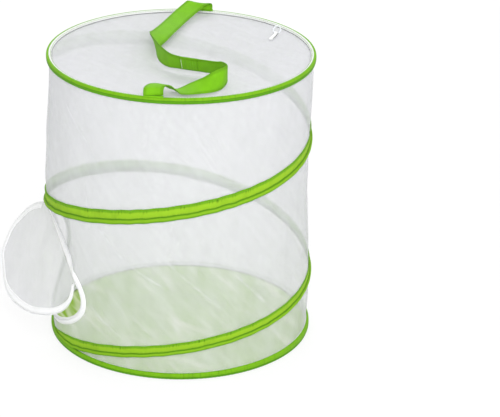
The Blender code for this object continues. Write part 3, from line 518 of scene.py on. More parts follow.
def stitches(name, rows, finish, length, pitch, width=0.7 * MM, height=0.5 * MM):
    """Rows of stitches along paths, each row a path with its outward directions."""
    grids = []
    for path, outward in rows:
        along = lengths_along(path)
        starts = np.arange(pitch / 2, along[-1] - length, pitch)
        place = [np.stack([np.interp(s, along, c) for c in path.T], -1)
                 for s in (starts, starts + length)]
        facing = unit(np.stack([np.interp(starts + length / 2, along, c) for c in outward.T], -1))
        grids += stitch_grid(*place, facing, width, height)
    return mesh_piece(name, grids, finish)


def fitted(piece, body, replaced=(), collapses=None):
    """A finished piece on its body, hiding the nodes that it stands for. Where the wall folds up
    with it, a height is passed, and the piece is then given its own copy of its mesh."""
    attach(piece, body)
    if replaced:
        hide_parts(*replaced)
    if collapses is not None:
        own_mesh(piece)
    return piece


# The drum's surfaces


def wall_centre(height):
    """Lean of the drum's axis to the left: a squared sine between the lean's start and the top."""
    rise = np.clip((height - drum().lean_start) / (drum().height - drum().lean_start), 0, 1)
    return -drum().lean * np.sin(math.pi * rise) ** 2


def wall_radius(height):
    """Half a sine wider at mid height than at the rings."""
    start = drum().ring_radius - drum().setback
    return start + drum().bulge * np.sin(math.pi * height / drum().height)


def arc_radius():
    """The radius that the door's arcs are measured on."""
    return drum().ring_radius - drum().setback + 0.8 * drum().bulge


def wall_point(azimuth, height, out=0.0):
    """The round wall: radius times cosine and sine of the azimuth, about the leaning axis."""
    azimuth, height, out = np.broadcast_arrays(azimuth, height, out)
    radius = wall_radius(height) + out
    return np.stack([wall_centre(height) + radius * np.cos(azimuth),
                     radius * np.sin(azimuth), height], -1)


def ring_middles():
    """Heights of the middles of the bottom and top rings."""
    half = drum().ring_size / 2
    return half, drum().height - half


def turn_lift(azimuth):
    """How far a turn stands above an even spiral: a sum of cosines of its direction."""
    return (LIFT_MEAN + LIFT_BACK * np.sin(azimuth) - LIFT_LEFT * np.cos(azimuth)
            - LIFT_SIDES * np.cos(2 * azimuth))


def band_edges(share):
    """Azimuth, lower edge and upper edge of the spiral tape at shares of its whole run."""
    low, top = ring_middles()
    azimuth = SPIRAL_START - TURN * SPIRAL_TURNS * share
    fade = np.clip(share / LIFT_FADE_SHARE, 0, 1) * np.clip((1 - share) / LIFT_FADE_SHARE, 0, 1)
    middle = top + (low - top) * share + fade * turn_lift(azimuth)
    width = np.interp(share, (0, 0.5, 0.8, 1),
                      (drum().band_top, drum().band_top, drum().band_low, drum().band_low))
    least, most = drum().ring_size, drum().height - drum().ring_size
    lower = np.maximum(middle - width / 2, least)
    upper = np.minimum(middle + width / 2, most)
    lower = np.minimum(lower, upper - BAND_LEAST)
    return azimuth, lower, np.maximum(upper, lower + BAND_LEAST)


def clear_of_band(azimuth, height):
    """Distance up or down from a place on the wall to the nearest spiral tape or ring."""
    away = np.minimum(height - drum().ring_size, drum().height - drum().ring_size - height)
    for turn in range(int(SPIRAL_TURNS) + 1):
        share = (np.mod(SPIRAL_START - azimuth, TURN) + TURN * turn) / (TURN * SPIRAL_TURNS)
        _, lower, upper = band_edges(np.minimum(share, 1.0))
        away = np.minimum(away, np.where(share <= 1, np.maximum(lower - height, height - upper), 1))
    return np.maximum(away, 0.0)


def door_place(shares):
    """Arc and height of a place given as shares of the door's box."""
    return np.array([door().rear_arc + shares[0] * door().width,
                     door().low + shares[1] * door().tall])


def place_azimuth(arc):
    """Azimuth of an arc: half a turn, plus the arc over its radius."""
    return math.pi + arc / arc_radius()


def fold_ends():
    """The two ends of the straight line that the flap hangs from."""
    top, front = door_place(FOLD_TOP_SHARES), door_place(FOLD_FRONT_SHARES)
    return (wall_point(place_azimuth(top[0]), top[1]),
            wall_point(place_azimuth(front[0]), front[1]))


def fold_line(count=61):
    """Places of the fold on the wall, and its depth inside the round wall: the straight line
    between its ends, seen from the drum's axis."""
    top, front = fold_ends()
    line = top + (front - top) * np.linspace(0, 1, count)[:, None]
    reach = line[:, 0] - wall_centre(line[:, 2])
    azimuth = np.mod(np.arctan2(line[:, 1], reach), TURN)
    depth = wall_radius(line[:, 2]) - np.hypot(reach, line[:, 1])
    return np.stack([(azimuth - math.pi) * arc_radius(), line[:, 2]], -1), depth


def fold_dent(arc, height):
    """How far the net is drawn in above the door: the fold's depth, fading evenly up to the
    spiral tape, and a step that leans the fold's tape back."""
    places, depth = fold_line()
    foot = np.interp(arc, places[:, 0], places[:, 1])
    most = np.interp(arc, places[:, 0], depth, left=0.0, right=0.0)
    share = (SPIRAL_START + 2 * TURN - place_azimuth(arc)) / (TURN * SPIRAL_TURNS)
    _, eaves, _ = band_edges(np.clip(share, 0, 1))
    rise = (height - foot) / (eaves - foot)
    along = (arc - places[0, 0]) / (places[-1, 0] - places[0, 0])
    step = (ease((height - foot) / (9 * MM)) * ease(1 - (height - foot - 9 * MM) / (30 * MM))
            * ease(along / 0.25) * ease((1 - along) / 0.15))
    return FOLD_STEP * step + most * np.where(rise >= 0, np.clip(1 - rise, 0, 1),
                                              np.clip(1 + (height - foot) / (4 * MM), 0, 1))


def on_wall(places, out=0.0):
    """The net at a place: the round wall, drawn in over the door, with its folds and creases."""
    arc, height = places[..., 0], places[..., 1]
    azimuth = place_azimuth(arc)
    free = ease(clear_of_band(azimuth, height) / (17 * MM))
    wave = cloth_folds(arc, height, WALL_FOLDS)
    for start, end in WALL_CREASES:
        wave = wave + 0.45 * MM * ridge(places, start, end, 5 * MM)
    hole = np.array([door_place((0.5, 0.45))])
    near_door = np.linalg.norm((places - hole) / (0.62 * door().width, 0.66 * door().tall), axis=-1)
    wave = wave * free * ease((near_door - 0.85) / 0.4)
    return wall_point(azimuth, height, out + wave - fold_dent(arc, height))


# The door's outline and flap


def door_curve(steps=8):
    """The zipped side of the door, from the fold's front end round to its top corner."""
    shares = (FOLD_FRONT_SHARES, *DOOR_CURVE_SHARES, FOLD_TOP_SHARES)
    return curve_through([door_place(pair) for pair in shares], steps)


def flap_point(places, out=0.0):
    """The flap: laid on a gentle arc, fitted to the fold line, then swung open about it."""
    radius = arc_radius() * 4.0
    ends = np.array([door_place(FOLD_TOP_SHARES), door_place(FOLD_FRONT_SHARES)])
    middle = ends.mean(axis=0)
    facing = place_azimuth(middle[0])
    normal = np.array([math.cos(facing), math.sin(facing), 0.0])
    side = np.array([-math.sin(facing), math.cos(facing), 0.0])

    def laid(spot, lift):
        bend = (spot[..., 0] - middle[0]) / radius
        return (((radius + lift) * np.cos(bend) - radius)[..., None] * normal
                + ((radius + lift) * np.sin(bend))[..., None] * side
                + spot[..., 1][..., None] * UP)

    top, front = fold_ends()
    axis = unit(front - top)
    laid_top, laid_front = laid(ends, 0.0)
    points = laid(np.asarray(places, float), out) + (top + front - laid_top - laid_front) / 2
    across = np.cross(unit(laid_front - laid_top), axis)
    centre = (top + front) / 2
    points = turned(points, centre, unit(across), math.asin(np.linalg.norm(across)))
    drawn_in = np.linalg.norm(front - top) / np.linalg.norm(laid_front - laid_top) - 1
    points = points + np.multiply.outer((points - centre) @ axis, axis) * drawn_in
    return turned(points, centre, axis, -math.radians(door().open_deg))


def flap_edge(inset=0.0):
    """The flap's free edge, from the fold's front end to its top end."""
    return offset_curve(door_curve(), -door().inset - inset)


def fold_inward():
    """Direction on the wall, square to the fold and into the door."""
    top, front = door_place(FOLD_TOP_SHARES), door_place(FOLD_FRONT_SHARES)
    return unit(np.array([front[1] - top[1], top[0] - front[0]]))


def on_flap(places, out=0.0):
    """The flap's cloth with its soft folds, which die out towards the fold line."""
    away = (places - door_place(FOLD_TOP_SHARES)) @ fold_inward()
    wave = cloth_folds(places[..., 0], places[..., 1], FLAP_FOLDS)
    return flap_point(places, out + wave * ease(away / (30 * MM)))


def on_surface(surface, curve, out):
    """A path on a surface and its outward directions."""
    path = surface(curve, out)
    return path, unit(surface(curve, out + MM) - path)


def laid_strip(inner, outer, surface, low, high, columns=7, crown=0.0):
    """Grid of a flat tape on a surface: its section runs across the underside and back over
    the top, which rises to its crown as half a sine and is rounded down at both edges."""
    across = np.linspace(0, 1, columns)
    over = np.concatenate([across, across[::-1], across[:1]])
    thick = high - low
    rounded = high - 0.45 * thick * (np.abs(2 * across - 1) > 0.99)
    rounded = rounded + crown * np.sin(math.pi * across)
    lift = np.concatenate([np.full(columns, low), rounded[::-1], [low]])
    places = inner[:, None] + (outer - inner)[:, None] * over[None, :, None]
    points = surface(places, np.broadcast_to(lift, places.shape[:2]))
    along = lengths_along(inner)
    width = np.linalg.norm((outer - inner)[0])
    uv = np.stack(np.broadcast_arrays(along[:, None], over[None, :] * width), -1)
    return closed_ends((points, uv))


# Materials


class Finish:
    """A material being put together from nodes."""

    def __init__(self, name):
        self.material = bpy.data.materials.new(name)
        self.material.use_nodes = True
        self.tree = self.material.node_tree
        self.tree.nodes.clear()

    def node(self, kind, inputs=(), **settings):
        """A node with its settings, and its inputs set or linked."""
        item = self.tree.nodes.new("ShaderNode" + kind)
        for key, value in settings.items():
            setattr(item, key, value)
        for key, value in dict(inputs).items():
            if isinstance(value, bpy.types.NodeSocket):
                self.tree.links.new(value, item.inputs[key])
            else:
                item.inputs[key].default_value = value
        return item

    def math(self, operation, first, second=0.0, third=0.0, clamp=False):
        """One arithmetic operation on up to three values."""
        item = self.node("Math", {0: first, 1: second, 2: third}, operation=operation)
        item.use_clamp = clamp
        return item.outputs[0]

    def between(self, value, low, high, to_low=0.0, to_high=1.0):
        """A value moved smoothly from one range to another."""
        item = self.node("MapRange", {0: value, 1: low, 2: high, 3: to_low, 4: to_high})
        item.interpolation_type = "SMOOTHSTEP"
        return item.outputs[0]

    def mix(self, share, first, second):
        """A mix of two colours."""
        return self.node("Mix", {0: share, 6: first, 7: second}, data_type="RGBA").outputs[2]

    def ramp(self, value, stops):
        """A colour read off a row of stops, each a place from 0 to 1 and a colour."""
        item = self.node("ValToRGB", {0: value})
        elements = item.color_ramp.elements
        elements[0].position, elements[0].color = stops[0]
        elements[1].position, elements[1].color = stops[-1]
        for place, shade in stops[1:-1]:
            elements.new(place).color = shade
        return item.outputs[0]

    def uv(self):
        """The place on the cloth, in metres."""
        return self.node("UVMap", uv_map="UVMap").outputs[0]

    def object_place(self):
        """The place in the object's own space."""
        return self.node("TexCoord").outputs["Object"]

    def drawn_out(self, place, degrees, length):
        """A place for a pattern that is longer by so many times in a direction."""
        inputs = {"Vector": place, "Rotation": (0.0, 0.0, math.radians(degrees)),
                  "Scale": (length, 1.0, 1.0)}
        return self.node("Mapping", inputs, vector_type="TEXTURE").outputs[0]

    def noise(self, place, scale, detail=2.0):
        """Soft noise, from 0 to 1."""
        inputs = {"Vector": place, "Scale": scale, "Detail": detail}
        return self.node("TexNoise", inputs).outputs[0]

    def lines(self, place, pitch, degrees=0.0):
        """Soft stripes at a pitch, across a direction."""
        turn = {"Vector": place, "Rotation": (0.0, 0.0, math.radians(degrees))}
        spun = self.node("Mapping", turn).outputs[0]
        wave = self.node("TexWave", {"Vector": spun, "Scale": TURN / 20 / pitch})
        return wave.outputs["Fac"]

    def bump(self, height, distance, strength=1.0):
        """A surface direction from heights."""
        inputs = {"Height": height, "Distance": distance, "Strength": strength}
        return self.node("Bump", inputs).outputs[0]

    def cloth(self, base, roughness, normal=None, sheen=0.0, **more):
        """A Principled surface for cloth, tape or a fitting."""
        inputs = {"Base Color": base, "Roughness": roughness, "Sheen Weight": sheen,
                  "Sheen Tint": SHEEN_TINT, "Specular IOR Level": 0.2, **more}
        if normal is not None:
            inputs["Normal"] = normal
        return self.node("BsdfPrincipled", inputs).outputs[0]

    def done(self, shader):
        """The finished material."""
        self.node("OutputMaterial", {"Surface": shader})
        return self.material


def net_finish(name, creases=(), cover=0.40):
    """Fine knitted net: threads in two slanting directions with clear gaps between them, denser in
    long slanting and upright bands as painted shade of its soft folds, denser along the creases,
    and light that comes through it from behind."""
    finish = Finish(name)
    uv = finish.uv()
    threads = finish.math("MAXIMUM", finish.lines(uv, 1.5 * MM, 30),
                          finish.lines(uv, 1.5 * MM, -30))
    # Long slanting streaks and upright bands where the net is denser: painted shade of its soft
    # folds.
    streaks = finish.drawn_out(uv, -52, 7.0)
    dense = finish.math("MULTIPLY_ADD", threads, 0.34, cover - 0.235)
    upright = finish.drawn_out(uv, 84, 7.0)
    for place, scale, share in ((uv, 22.0, 0.10), (streaks, 75.0, 0.20), (upright, 34.0, 0.24)):
        patches = finish.math("SUBTRACT", finish.noise(place, scale, 3.0), 0.5)
        dense = finish.math("MULTIPLY_ADD", patches, share, dense)
    broken = finish.between(finish.noise(uv, 55.0, 2.0), 0.35, 0.65, 0.0, 0.12)
    for start, end in creases:
        dense = finish.math("MULTIPLY_ADD", crease_mask(finish, uv, start, end), broken, dense)
    dense = finish.math("MINIMUM", dense, 1.0, clamp=True)
    base = tint("net")
    normal = finish.bump(threads, 0.12 * MM, 0.5)
    lit = finish.node("BsdfDiffuse", {"Color": base, "Normal": normal}).outputs[0]
    through = finish.node("BsdfTranslucent", {"Color": base}).outputs[0]
    cloth = finish.node("MixShader", {0: 0.42, 1: lit, 2: through}).outputs[0]
    clear = finish.node("BsdfTransparent").outputs[0]
    return finish.done(finish.node("MixShader", {0: dense, 1: clear, 2: cloth}).outputs[0])


def crease_mask(finish, uv, start, end, width=3.2 * MM):
    """1 on a straight line of the cloth, fading to 0 beside it and at its ends."""
    start, end = np.array(start), np.array(end)
    length = float(np.linalg.norm(end - start))
    way = (end - start) / length
    rest = finish.node("VectorMath", {0: uv, 1: (*start, 0.0)}, operation="SUBTRACT").outputs[0]

    def along(direction):
        inputs = {0: rest, 1: (*direction, 0.0)}
        return finish.node("VectorMath", inputs, operation="DOT_PRODUCT").outputs["Value"]

    beside = finish.math("ABSOLUTE", along((-way[1], way[0])))
    beyond = finish.math("ABSOLUTE", finish.math("SUBTRACT", along(way), length / 2))
    near = finish.between(beside, 0.0, width, 1.0, 0.0)
    within = finish.between(beyond, length * 0.34, length * 0.56, 1.0, 0.0)
    return finish.math("MULTIPLY", near, within)


def band_finish():
    """Lime woven tape on the spiral, with ribs across it and painted light and shade across its
    width: painted shade along the upper edge and between the puckers, a painted-lit middle, a
    painted shade line along the seam's groove, a tunnel in painted half shade with painted shade at
    its lower edge, and dark random patches. Its reverse is painted paler, as light shining through
    the cloth, and some real light comes through the cloth."""
    finish = Finish("spiral_tape")
    uv = finish.uv()
    across = finish.node("SeparateXYZ", {0: uv}).outputs[1]
    blotch = finish.math("SUBTRACT", finish.noise(uv, 60.0, 3.0), 0.5)
    share = finish.math("DIVIDE", across, drum().band_top)
    share = finish.math("MULTIPLY_ADD", blotch, 0.10, share)
    # Painted light and shade: bright is the lit middle, edge is painted shade, deep is painted
    # shade between the puckers and in the seam's groove, and the seam colour is painted shade along
    # that groove.
    bright, edge, deep = tint("band"), tint("band_edge_shade"), tint("band_deep_shade")
    half_shade = tuple((a + b) / 2 for a, b in zip(bright, edge))
    seam = tuple((a + 2 * b) / 3 for a, b in zip(edge, deep))
    # The ramp paints shade on the upper edge, light on the middle, a shade line along the seam's
    # groove, half shade down the tunnel and shade at the lower edge.
    painted_shading = finish.ramp(share, ((0.0, edge), (0.15, edge), (0.27, bright), (0.62, bright),
                               (0.66, seam), (0.69, seam), (0.73, half_shade), (0.82, half_shade),
                               (0.92, edge), (1.0, seam)))
    # Painted shade in the hollows between the puckers near the upper edge, with dark random
    # patches.
    pucker = finish.node("Attribute", attribute_name="pucker").outputs["Fac"]
    seldom = finish.between(finish.noise(uv, 95.0, 1.0), 0.48, 0.62, 0.12, 0.8)
    pucker_shade = finish.math("MULTIPLY", finish.between(pucker, 0.4, 0.95), seldom)
    pucker_shade = finish.math("MULTIPLY", pucker_shade,
                       finish.between(across, 0.15 * drum().band_top, 0.42 * drum().band_top,
                                      1.0, 0.0))
    shade = finish.math("MULTIPLY_ADD", blotch, 0.8, pucker_shade, clamp=True)
    base = finish.mix(shade, painted_shading, deep)
    # The reverse faces take a lime painted paler, as light shining through the tape.
    base = finish.mix(finish.between(across, -1.2 * MM, -0.4 * MM, 1.0, 0.0), base,
                      tint("band_back_painted_glow"))
    normal = finish.bump(finish.lines(uv, 0.9 * MM), 0.10 * MM, 0.6)
    lit = finish.cloth(base, 0.7, normal, sheen=0.05)
    through = finish.node("BsdfTranslucent", {"Color": base}).outputs[0]
    return finish.done(finish.node("MixShader", {0: 0.22, 1: lit, 2: through}).outputs[0])


def ring_finish():
    """Lime woven tape over the hoops, with ribs: painted light on top, painted shade down its outer
    side and along its folded edges, painted shade between the pleats, and dark random patches.
    Inside the hoops it is faced with white net."""
    finish = Finish("ring_tape")
    uv = finish.uv()
    below = finish.node("SeparateXYZ", {0: uv}).outputs[1]
    blotch = finish.math("SUBTRACT", finish.noise(uv, 70.0, 3.0), 0.5)
    share = finish.math("MULTIPLY_ADD", below, 1 / (24 * MM), 0.5)
    share = finish.math("MULTIPLY_ADD", blotch, 0.05, share)
    # Painted light and shade: bright is the lit top, side is painted shade down the outer side, and
    # line is a deeper painted shade along the folded edges.
    bright, side = tint("ring"), tint("ring_side_shade")
    line = tuple(0.6 * c for c in side)
    painted_shading = finish.ramp(share, ((0.0, side), (0.22, side), (0.30, bright), (0.485, bright),
                               (0.505, line), (0.53, side), (0.62, side), (0.68, line),
                               (1.0, line)))
    # Painted shade between the pleats where the stitching gathers the tape, with dark random
    # patches.
    pleat_shade = finish.between(finish.noise(finish.node("Mapping", {
        "Vector": uv, "Scale": (1.0, 0.08, 1.0)}).outputs[0], 420.0, 1.0), 0.52, 0.7, 0.0, 0.5)
    shade = finish.math("MULTIPLY_ADD", blotch, 0.8, pleat_shade, clamp=True)
    painted_shading = finish.mix(shade, painted_shading, line)
    flat = finish.node("VectorMath", {0: finish.object_place(), 1: (1.0, 1.0, 0.0)},
                       operation="MULTIPLY").outputs[0]
    radius = finish.node("VectorMath", {0: flat}, operation="LENGTH").outputs["Value"]
    lined = drum().ring_radius - 3.4 * MM
    inside = finish.between(radius, lined - 0.4 * MM, lined + 0.4 * MM, 1.0, 0.0)
    painted_shading = finish.mix(inside, painted_shading, (0.72, 0.73, 0.73, 1.0))
    normal = finish.bump(finish.lines(uv, 0.9 * MM), 0.14 * MM, 0.7)
    return finish.done(finish.cloth(painted_shading, 0.7, normal, sheen=0.04))


def woven_finish(name, colour_name, pitch, roughness=0.65, sheen=0.2, shade=0.35, edge_shade_from=0.0):
    """Woven tape: ribs across it and finer warp lines along it, with faint worn patches, and
    painted shade along its folded edges, beyond a given distance from its middle line."""
    finish = Finish(name)
    uv = finish.uv()
    ribs = finish.lines(uv, pitch)
    warp = finish.lines(uv, pitch * 0.8, 90)
    weave = finish.math("MULTIPLY", ribs, finish.math("MULTIPLY_ADD", warp, 0.5, 0.5))
    blotch = finish.noise(uv, 60.0, 3.0)
    base = tint(colour_name)
    deep = tuple(c * (1 - shade) for c in base[:3]) + (1.0,)
    amount = finish.math("MULTIPLY_ADD", weave, -0.45, 0.5)
    amount = finish.math("MULTIPLY_ADD", finish.math("SUBTRACT", blotch, 0.5), 0.9, amount,
                         clamp=True)
    # Painted shade along the folded edges of the strap.
    if edge_shade_from:
        aside = finish.math("ABSOLUTE", finish.node("SeparateXYZ", {0: uv}).outputs[1])
        darker = finish.between(aside, edge_shade_from - MM, edge_shade_from + MM, 0.0, 0.5)
        amount = finish.math("ADD", darker, amount, clamp=True)
    normal = finish.bump(weave, 0.16 * MM, 0.7)
    return finish.done(finish.cloth(finish.mix(amount, base, deep), roughness, normal, sheen))


def floor_finish():
    """Coated cloth: a fine plain weave under a thin gloss, with soft wrinkles in painted shade and
    long light streaks of painted highlight where the wrinkles catch the light."""
    finish = Finish("floor_cloth")
    uv = finish.uv()
    weave = finish.math("MULTIPLY", finish.lines(uv, 0.8 * MM), finish.lines(uv, 0.8 * MM, 90))
    wrinkle = finish.noise(uv, 18.0, 4.0)
    base = tint("floor")
    # Painted shade of the wrinkles: the wrinkle noise mixes in this deeper green.
    deep = tuple(c * 0.75 for c in base[:3]) + (1.0,)
    # Long light streaks of painted highlight where the wrinkles catch the light.
    streak_highlight = (0.84, 0.90, 0.62, 1.0)
    painted_shading = finish.mix(wrinkle, base, deep)
    for degrees, scale, length in ((-77, 46.0, 7.0), (-62, 60.0, 9.0), (-35, 40.0, 8.0)):
        run = finish.drawn_out(uv, degrees, length)
        streak = finish.between(finish.noise(run, scale, 2.0), 0.53, 0.72, 0.0, 0.7)
        painted_shading = finish.mix(streak, painted_shading, streak_highlight)
    normal = finish.bump(finish.math("MULTIPLY_ADD", wrinkle, 4.0, weave), 0.3 * MM, 0.5)
    return finish.done(finish.cloth(painted_shading, 0.48, normal))


def coil_finish():
    """Nylon: satin, with faint haze."""
    finish = Finish("zip_coil")
    haze = finish.noise(finish.object_place(), 900.0)
    base = finish.mix(finish.math("MULTIPLY", haze, 0.4), tint("coil"), (0.66, 0.67, 0.70, 1.0))
    return finish.done(finish.cloth(base, 0.36))


def metal_finish(name, colour_name, metallic, roughness, grain):
    """A metal fitting: fine scratches in its gloss, and tiny pits."""
    finish = Finish(name)
    place = finish.object_place()
    scratch = finish.noise(place, grain, 4.0)
    gloss = finish.between(scratch, 0.3, 0.7, roughness * 0.8, roughness * 1.25)
    base = tint(colour_name)
    worn = tuple(c * 0.82 for c in base[:3]) + (1.0,)
    normal = finish.bump(scratch, 0.02 * MM, 0.4)
    return finish.done(finish.cloth(finish.mix(finish.between(scratch, 0.45, 0.75), base, worn),
                                    gloss, normal, Metallic=metallic))


def thread_finish(name, base):
    """Twisted thread: tiny slanting ridges."""
    finish = Finish(name)
    twist = finish.lines(finish.object_place(), 0.5 * MM, 35)
    return finish.done(finish.cloth(base, 0.7, finish.bump(twist, 0.05 * MM, 0.5), sheen=0.2))


def clear_finish():
    """Clear moulded plastic, slightly cloudy."""
    finish = Finish("clear_ring")
    cloud = finish.noise(finish.object_place(), 500.0)
    gloss = finish.between(cloud, 0.3, 0.7, 0.05, 0.14)
    body = finish.cloth(tint("plastic"), gloss, IOR=1.49)
    clear = finish.node("BsdfTransparent", {"Color": (0.95, 0.96, 0.97, 1.0)}).outputs[0]
    share = finish.node("LayerWeight", {"Blend": 0.45}).outputs["Facing"]
    share = finish.math("MULTIPLY_ADD", share, 0.6, 0.38, clamp=True)
    return finish.done(finish.node("MixShader", {0: share, 1: clear, 2: body}).outputs[0])


# The net wall, top and floor


def make_wall():
    """The wall's net: a grid of arcs and heights, with a window that a ring of faces fills from
    its edge in to the door's outline."""
    low, top = ring_middles()
    half = drum().ring_size / 2 - 0.4 * MM
    step = TURN * arc_radius() / WALL_COLUMNS
    arcs = np.arange(-WALL_COLUMNS // 2, WALL_COLUMNS // 2 + 1) * step
    heights = np.linspace(low + half, top - half, WALL_ROWS + 1)
    margin = 13 * MM
    rear, front = (int(np.searchsorted(arcs, arc)) for arc in
                   (door().rear_arc - margin, door().rear_arc + door().width + margin))
    sill = int(np.searchsorted(heights, door().low - margin))
    head = int(np.searchsorted(heights, door().low + door().tall + 5 * MM))

    def block(columns, rows):
        places = np.stack(np.meshgrid(arcs[columns], heights[rows]), -1)
        return on_wall(places), places

    middle = slice(rear, front + 1)
    grids = [block(slice(0, rear + 1), slice(None)), block(slice(front, None), slice(None)),
             block(middle, slice(0, sill + 1)), block(middle, slice(head, None))]
    window = [(arcs[i], heights[sill]) for i in range(rear, front)]
    window += [(arcs[front], heights[j]) for j in range(sill, head)]
    window += [(arcs[i], heights[head]) for i in range(front, rear, -1)]
    window += [(arcs[rear], heights[j]) for j in range(head, sill - 1, -1)]
    window = np.array(window)
    fold, _ = fold_line()
    outline = np.vstack([door_curve(), fold])
    centre = door_place((0.5, 0.42))
    bearing = np.unwrap(np.arctan2(*(outline - centre).T[::-1]))
    reach = np.linalg.norm(outline - centre, axis=1)
    if bearing[-1] < bearing[0]:
        bearing, reach = bearing[::-1], reach[::-1]
    wanted = np.arctan2(*(window - centre).T[::-1])
    found = np.interp(bearing[0] + np.mod(wanted - bearing[0], TURN), bearing, reach)
    hole = centre + found[:, None] * np.stack([np.cos(wanted), np.sin(wanted)], -1)
    share = np.linspace(0, 1, 7)[:, None, None]
    places = hole + (window - hole) * share
    grids.append((on_wall(places), places))
    wall = mesh_piece("net_wall", grids, net_finish("wall_net", WALL_CREASES),
                      facing=lambda middles: middles * (1, 1, 0), thickness=drum().net)
    fitted(wall, "base", ["side_wall"], LOW_RING_BOX[1].z)


def disc_grid(radii, heights, folds, fade):
    """A round cloth: circles of given radii and heights, with folds that fade at the edge."""
    azimuth = np.linspace(0, TURN, 181)
    x = np.outer(radii, np.cos(azimuth))
    y = np.outer(radii, np.sin(azimuth))
    wave = cloth_folds(x, y, folds) * fade[:, None]
    points = np.stack([x, y, heights[:, None] + wave], -1)
    return points, np.stack([x, y], -1)


def make_top():
    """The top net: sewn in all round and sagging a little, lowest over its inner half."""
    _, top = ring_middles()
    inside = drum().ring_radius - drum().ring_size
    radii = np.linspace(0, inside + MM, 46)
    reach = np.clip((radii - inside / 2) / (inside / 2), 0, 1)
    heights = top + drum().net / 2 + 0.1 * MM - drum().sag * (1 - reach)
    fade = ease((inside - radii) / (35 * MM))
    grid = disc_grid(radii, heights, PANEL_FOLDS, fade)
    panel = mesh_piece("net_top", [grid], net_finish("top_net", cover=0.62),
                       facing=lambda middles: UP, thickness=drum().net)
    fitted(panel, "top", ["top_panel"])


def make_floor():
    """The floor cloth: flat on the table, then rising into the bottom ring's fold."""
    low, _ = ring_middles()
    inside = drum().ring_radius - drum().ring_size
    radii = np.concatenate([np.linspace(0, inside - 16 * MM, 40),
                            np.linspace(inside - 15 * MM, inside + 1.2 * MM, 12)])
    rise = ease((radii - inside + 14 * MM) / (14 * MM))
    heights = drum().floor + (low - drum().floor / 2) * rise
    unfolded = np.zeros_like(radii)
    cloth = mesh_piece("floor_sheet", [disc_grid(radii, heights, PANEL_FOLDS, unfolded)],
                       floor_finish(), facing=lambda middles: UP, thickness=drum().floor)
    fitted(cloth, "base", ["floor_panel"])


# Rings


def ring_tape(name, middle, slit, rise, finish):
    """Tape folded over a hoop: a ribbon's outline carried round the ring, its size rippled by
    uneven waves where the stitching gathers it. Its rise gives how many times taller its
    upper half is, how much more on the right, and how many times taller its lower half is."""
    half = (drum().ring_size - drum().ring_cloth) / 2
    shares = ((-1.0, None), (-0.80, 0.62), (-0.25, 0.94), (0.45, 1.0), (0.88, 0.86), (1.0, 0.35),
              (1.0, 0.0))
    upper = [(r * half, slit if z is None else z * half) for r, z in shares]
    path = upper + [(r, -z) for r, z in upper[-2::-1]]
    curve = curve_through(path, 2)
    outline = ribbon_outline(curve, drum().ring_cloth)
    middle_radius = drum().ring_radius - drum().ring_size / 2
    azimuth = np.linspace(0, TURN, RING_STATIONS + 1)
    run = azimuth * middle_radius
    closing = np.minimum(1.0, np.minimum(azimuth, TURN - azimuth) * 20)
    ripple = uneven_waves(run, 5.2 * MM) * closing
    scale = 0.985 + 0.022 * ripple[:, None]
    lean = 0.05 * np.sin(5 * azimuth) + 0.04 * np.sin(11 * azimuth + 1)
    r = outline[None, :, 0] * scale - outline[None, :, 1] * lean[:, None] * 0.3
    z = outline[None, :, 1] * scale
    right = ease(1 - np.abs(np.angle(np.exp(1j * (azimuth + 0.35)))) / 1.3)[:, None]
    z = np.where(z > 0, z * (rise[0] + rise[1] * right), z * rise[2])
    r, z = np.clip(r, -1, drum().ring_size / 2), np.clip(z, rise[2] * -drum().ring_size / 2, 1)
    points = np.stack([(middle_radius + r) * np.cos(azimuth)[:, None],
                       (middle_radius + r) * np.sin(azimuth)[:, None], middle + z], -1)
    around = ribbon_across(curve)
    around = around - around.max() / 2
    uv = np.stack(np.broadcast_arrays(run[:, None], around[None, :]), -1)
    return mesh_piece(name, [(points, uv)], finish)


def make_rings():
    """Both bound rings with their stitching, and steel for the hoops inside them."""
    finish = ring_finish()
    thread = thread_finish("ring_thread", (0.16, 0.36, 0.01, 1.0))
    low, top = ring_middles()
    azimuth = np.linspace(0, TURN, RING_STATIONS + 1)
    seam_radius = drum().ring_radius - drum().ring_size * 0.82
    for label, node, body, middle, slit, rise in (
            ("low", "bottom_binding", "base", low, 0.95 * MM, (1.3, 0.7, 1.0)),
            ("top", "top_binding", "top", top, 0.65 * MM, (1.0, 0.0, 1.35))):
        tape = ring_tape(label + "_ring_tape", middle, slit, rise, finish)
        fitted(tape, body, [node])
        lift = 0.36 * drum().ring_size
        path = np.stack([seam_radius * np.cos(azimuth), seam_radius * np.sin(azimuth),
                         np.full_like(azimuth, middle + lift)], -1)
        outward = np.broadcast_to(UP, path.shape)
        row = stitches(label + "_ring_stitches", [(path, outward)], thread, *RING_STITCH)
        fitted(row, body)
    steel = metal_finish("spring_steel", "steel", 1.0, 0.32, 1400.0)
    for name in ("bottom_hoop", "bottom_ferrule", "top_hoop", "top_ferrule"):
        frame["nodes"][name].data.materials.clear()
        frame["nodes"][name].data.materials.append(steel)
    return steel


# Spiral band


def band_section():
    """End view of the spiral tape from its upper edge down: how far out and how far below the
    upper edge. The front layer bulges over the wire, folds under it and comes back up the wall
    to the seam."""
    skin, out = drum().band_cloth, drum().tunnel_out
    flat = drum().band_top - drum().tunnel
    front = BAND_GAP + 1.6 * skin
    low = drum().band_top
    path = ((front, 0.0), (front + 0.15 * MM, flat * 0.25), (front + 0.1 * MM, flat * 0.6),
            (front - 0.1 * MM, flat * 0.92), (front + 0.1 * MM, flat + 0.05 * drum().tunnel),
            (out * 0.82, flat + 0.22 * drum().tunnel), (out, flat + 0.50 * drum().tunnel),
            (out * 0.86, flat + 0.80 * drum().tunnel), (out * 0.45, low),
            (0.3 * MM + skin / 2, low - 0.10 * drum().tunnel),
            (0.3 * MM + skin / 2, flat + 0.3 * drum().tunnel),
            (0.3 * MM + skin / 2, flat - 1.0 * MM))
    return curve_through(path, 2)


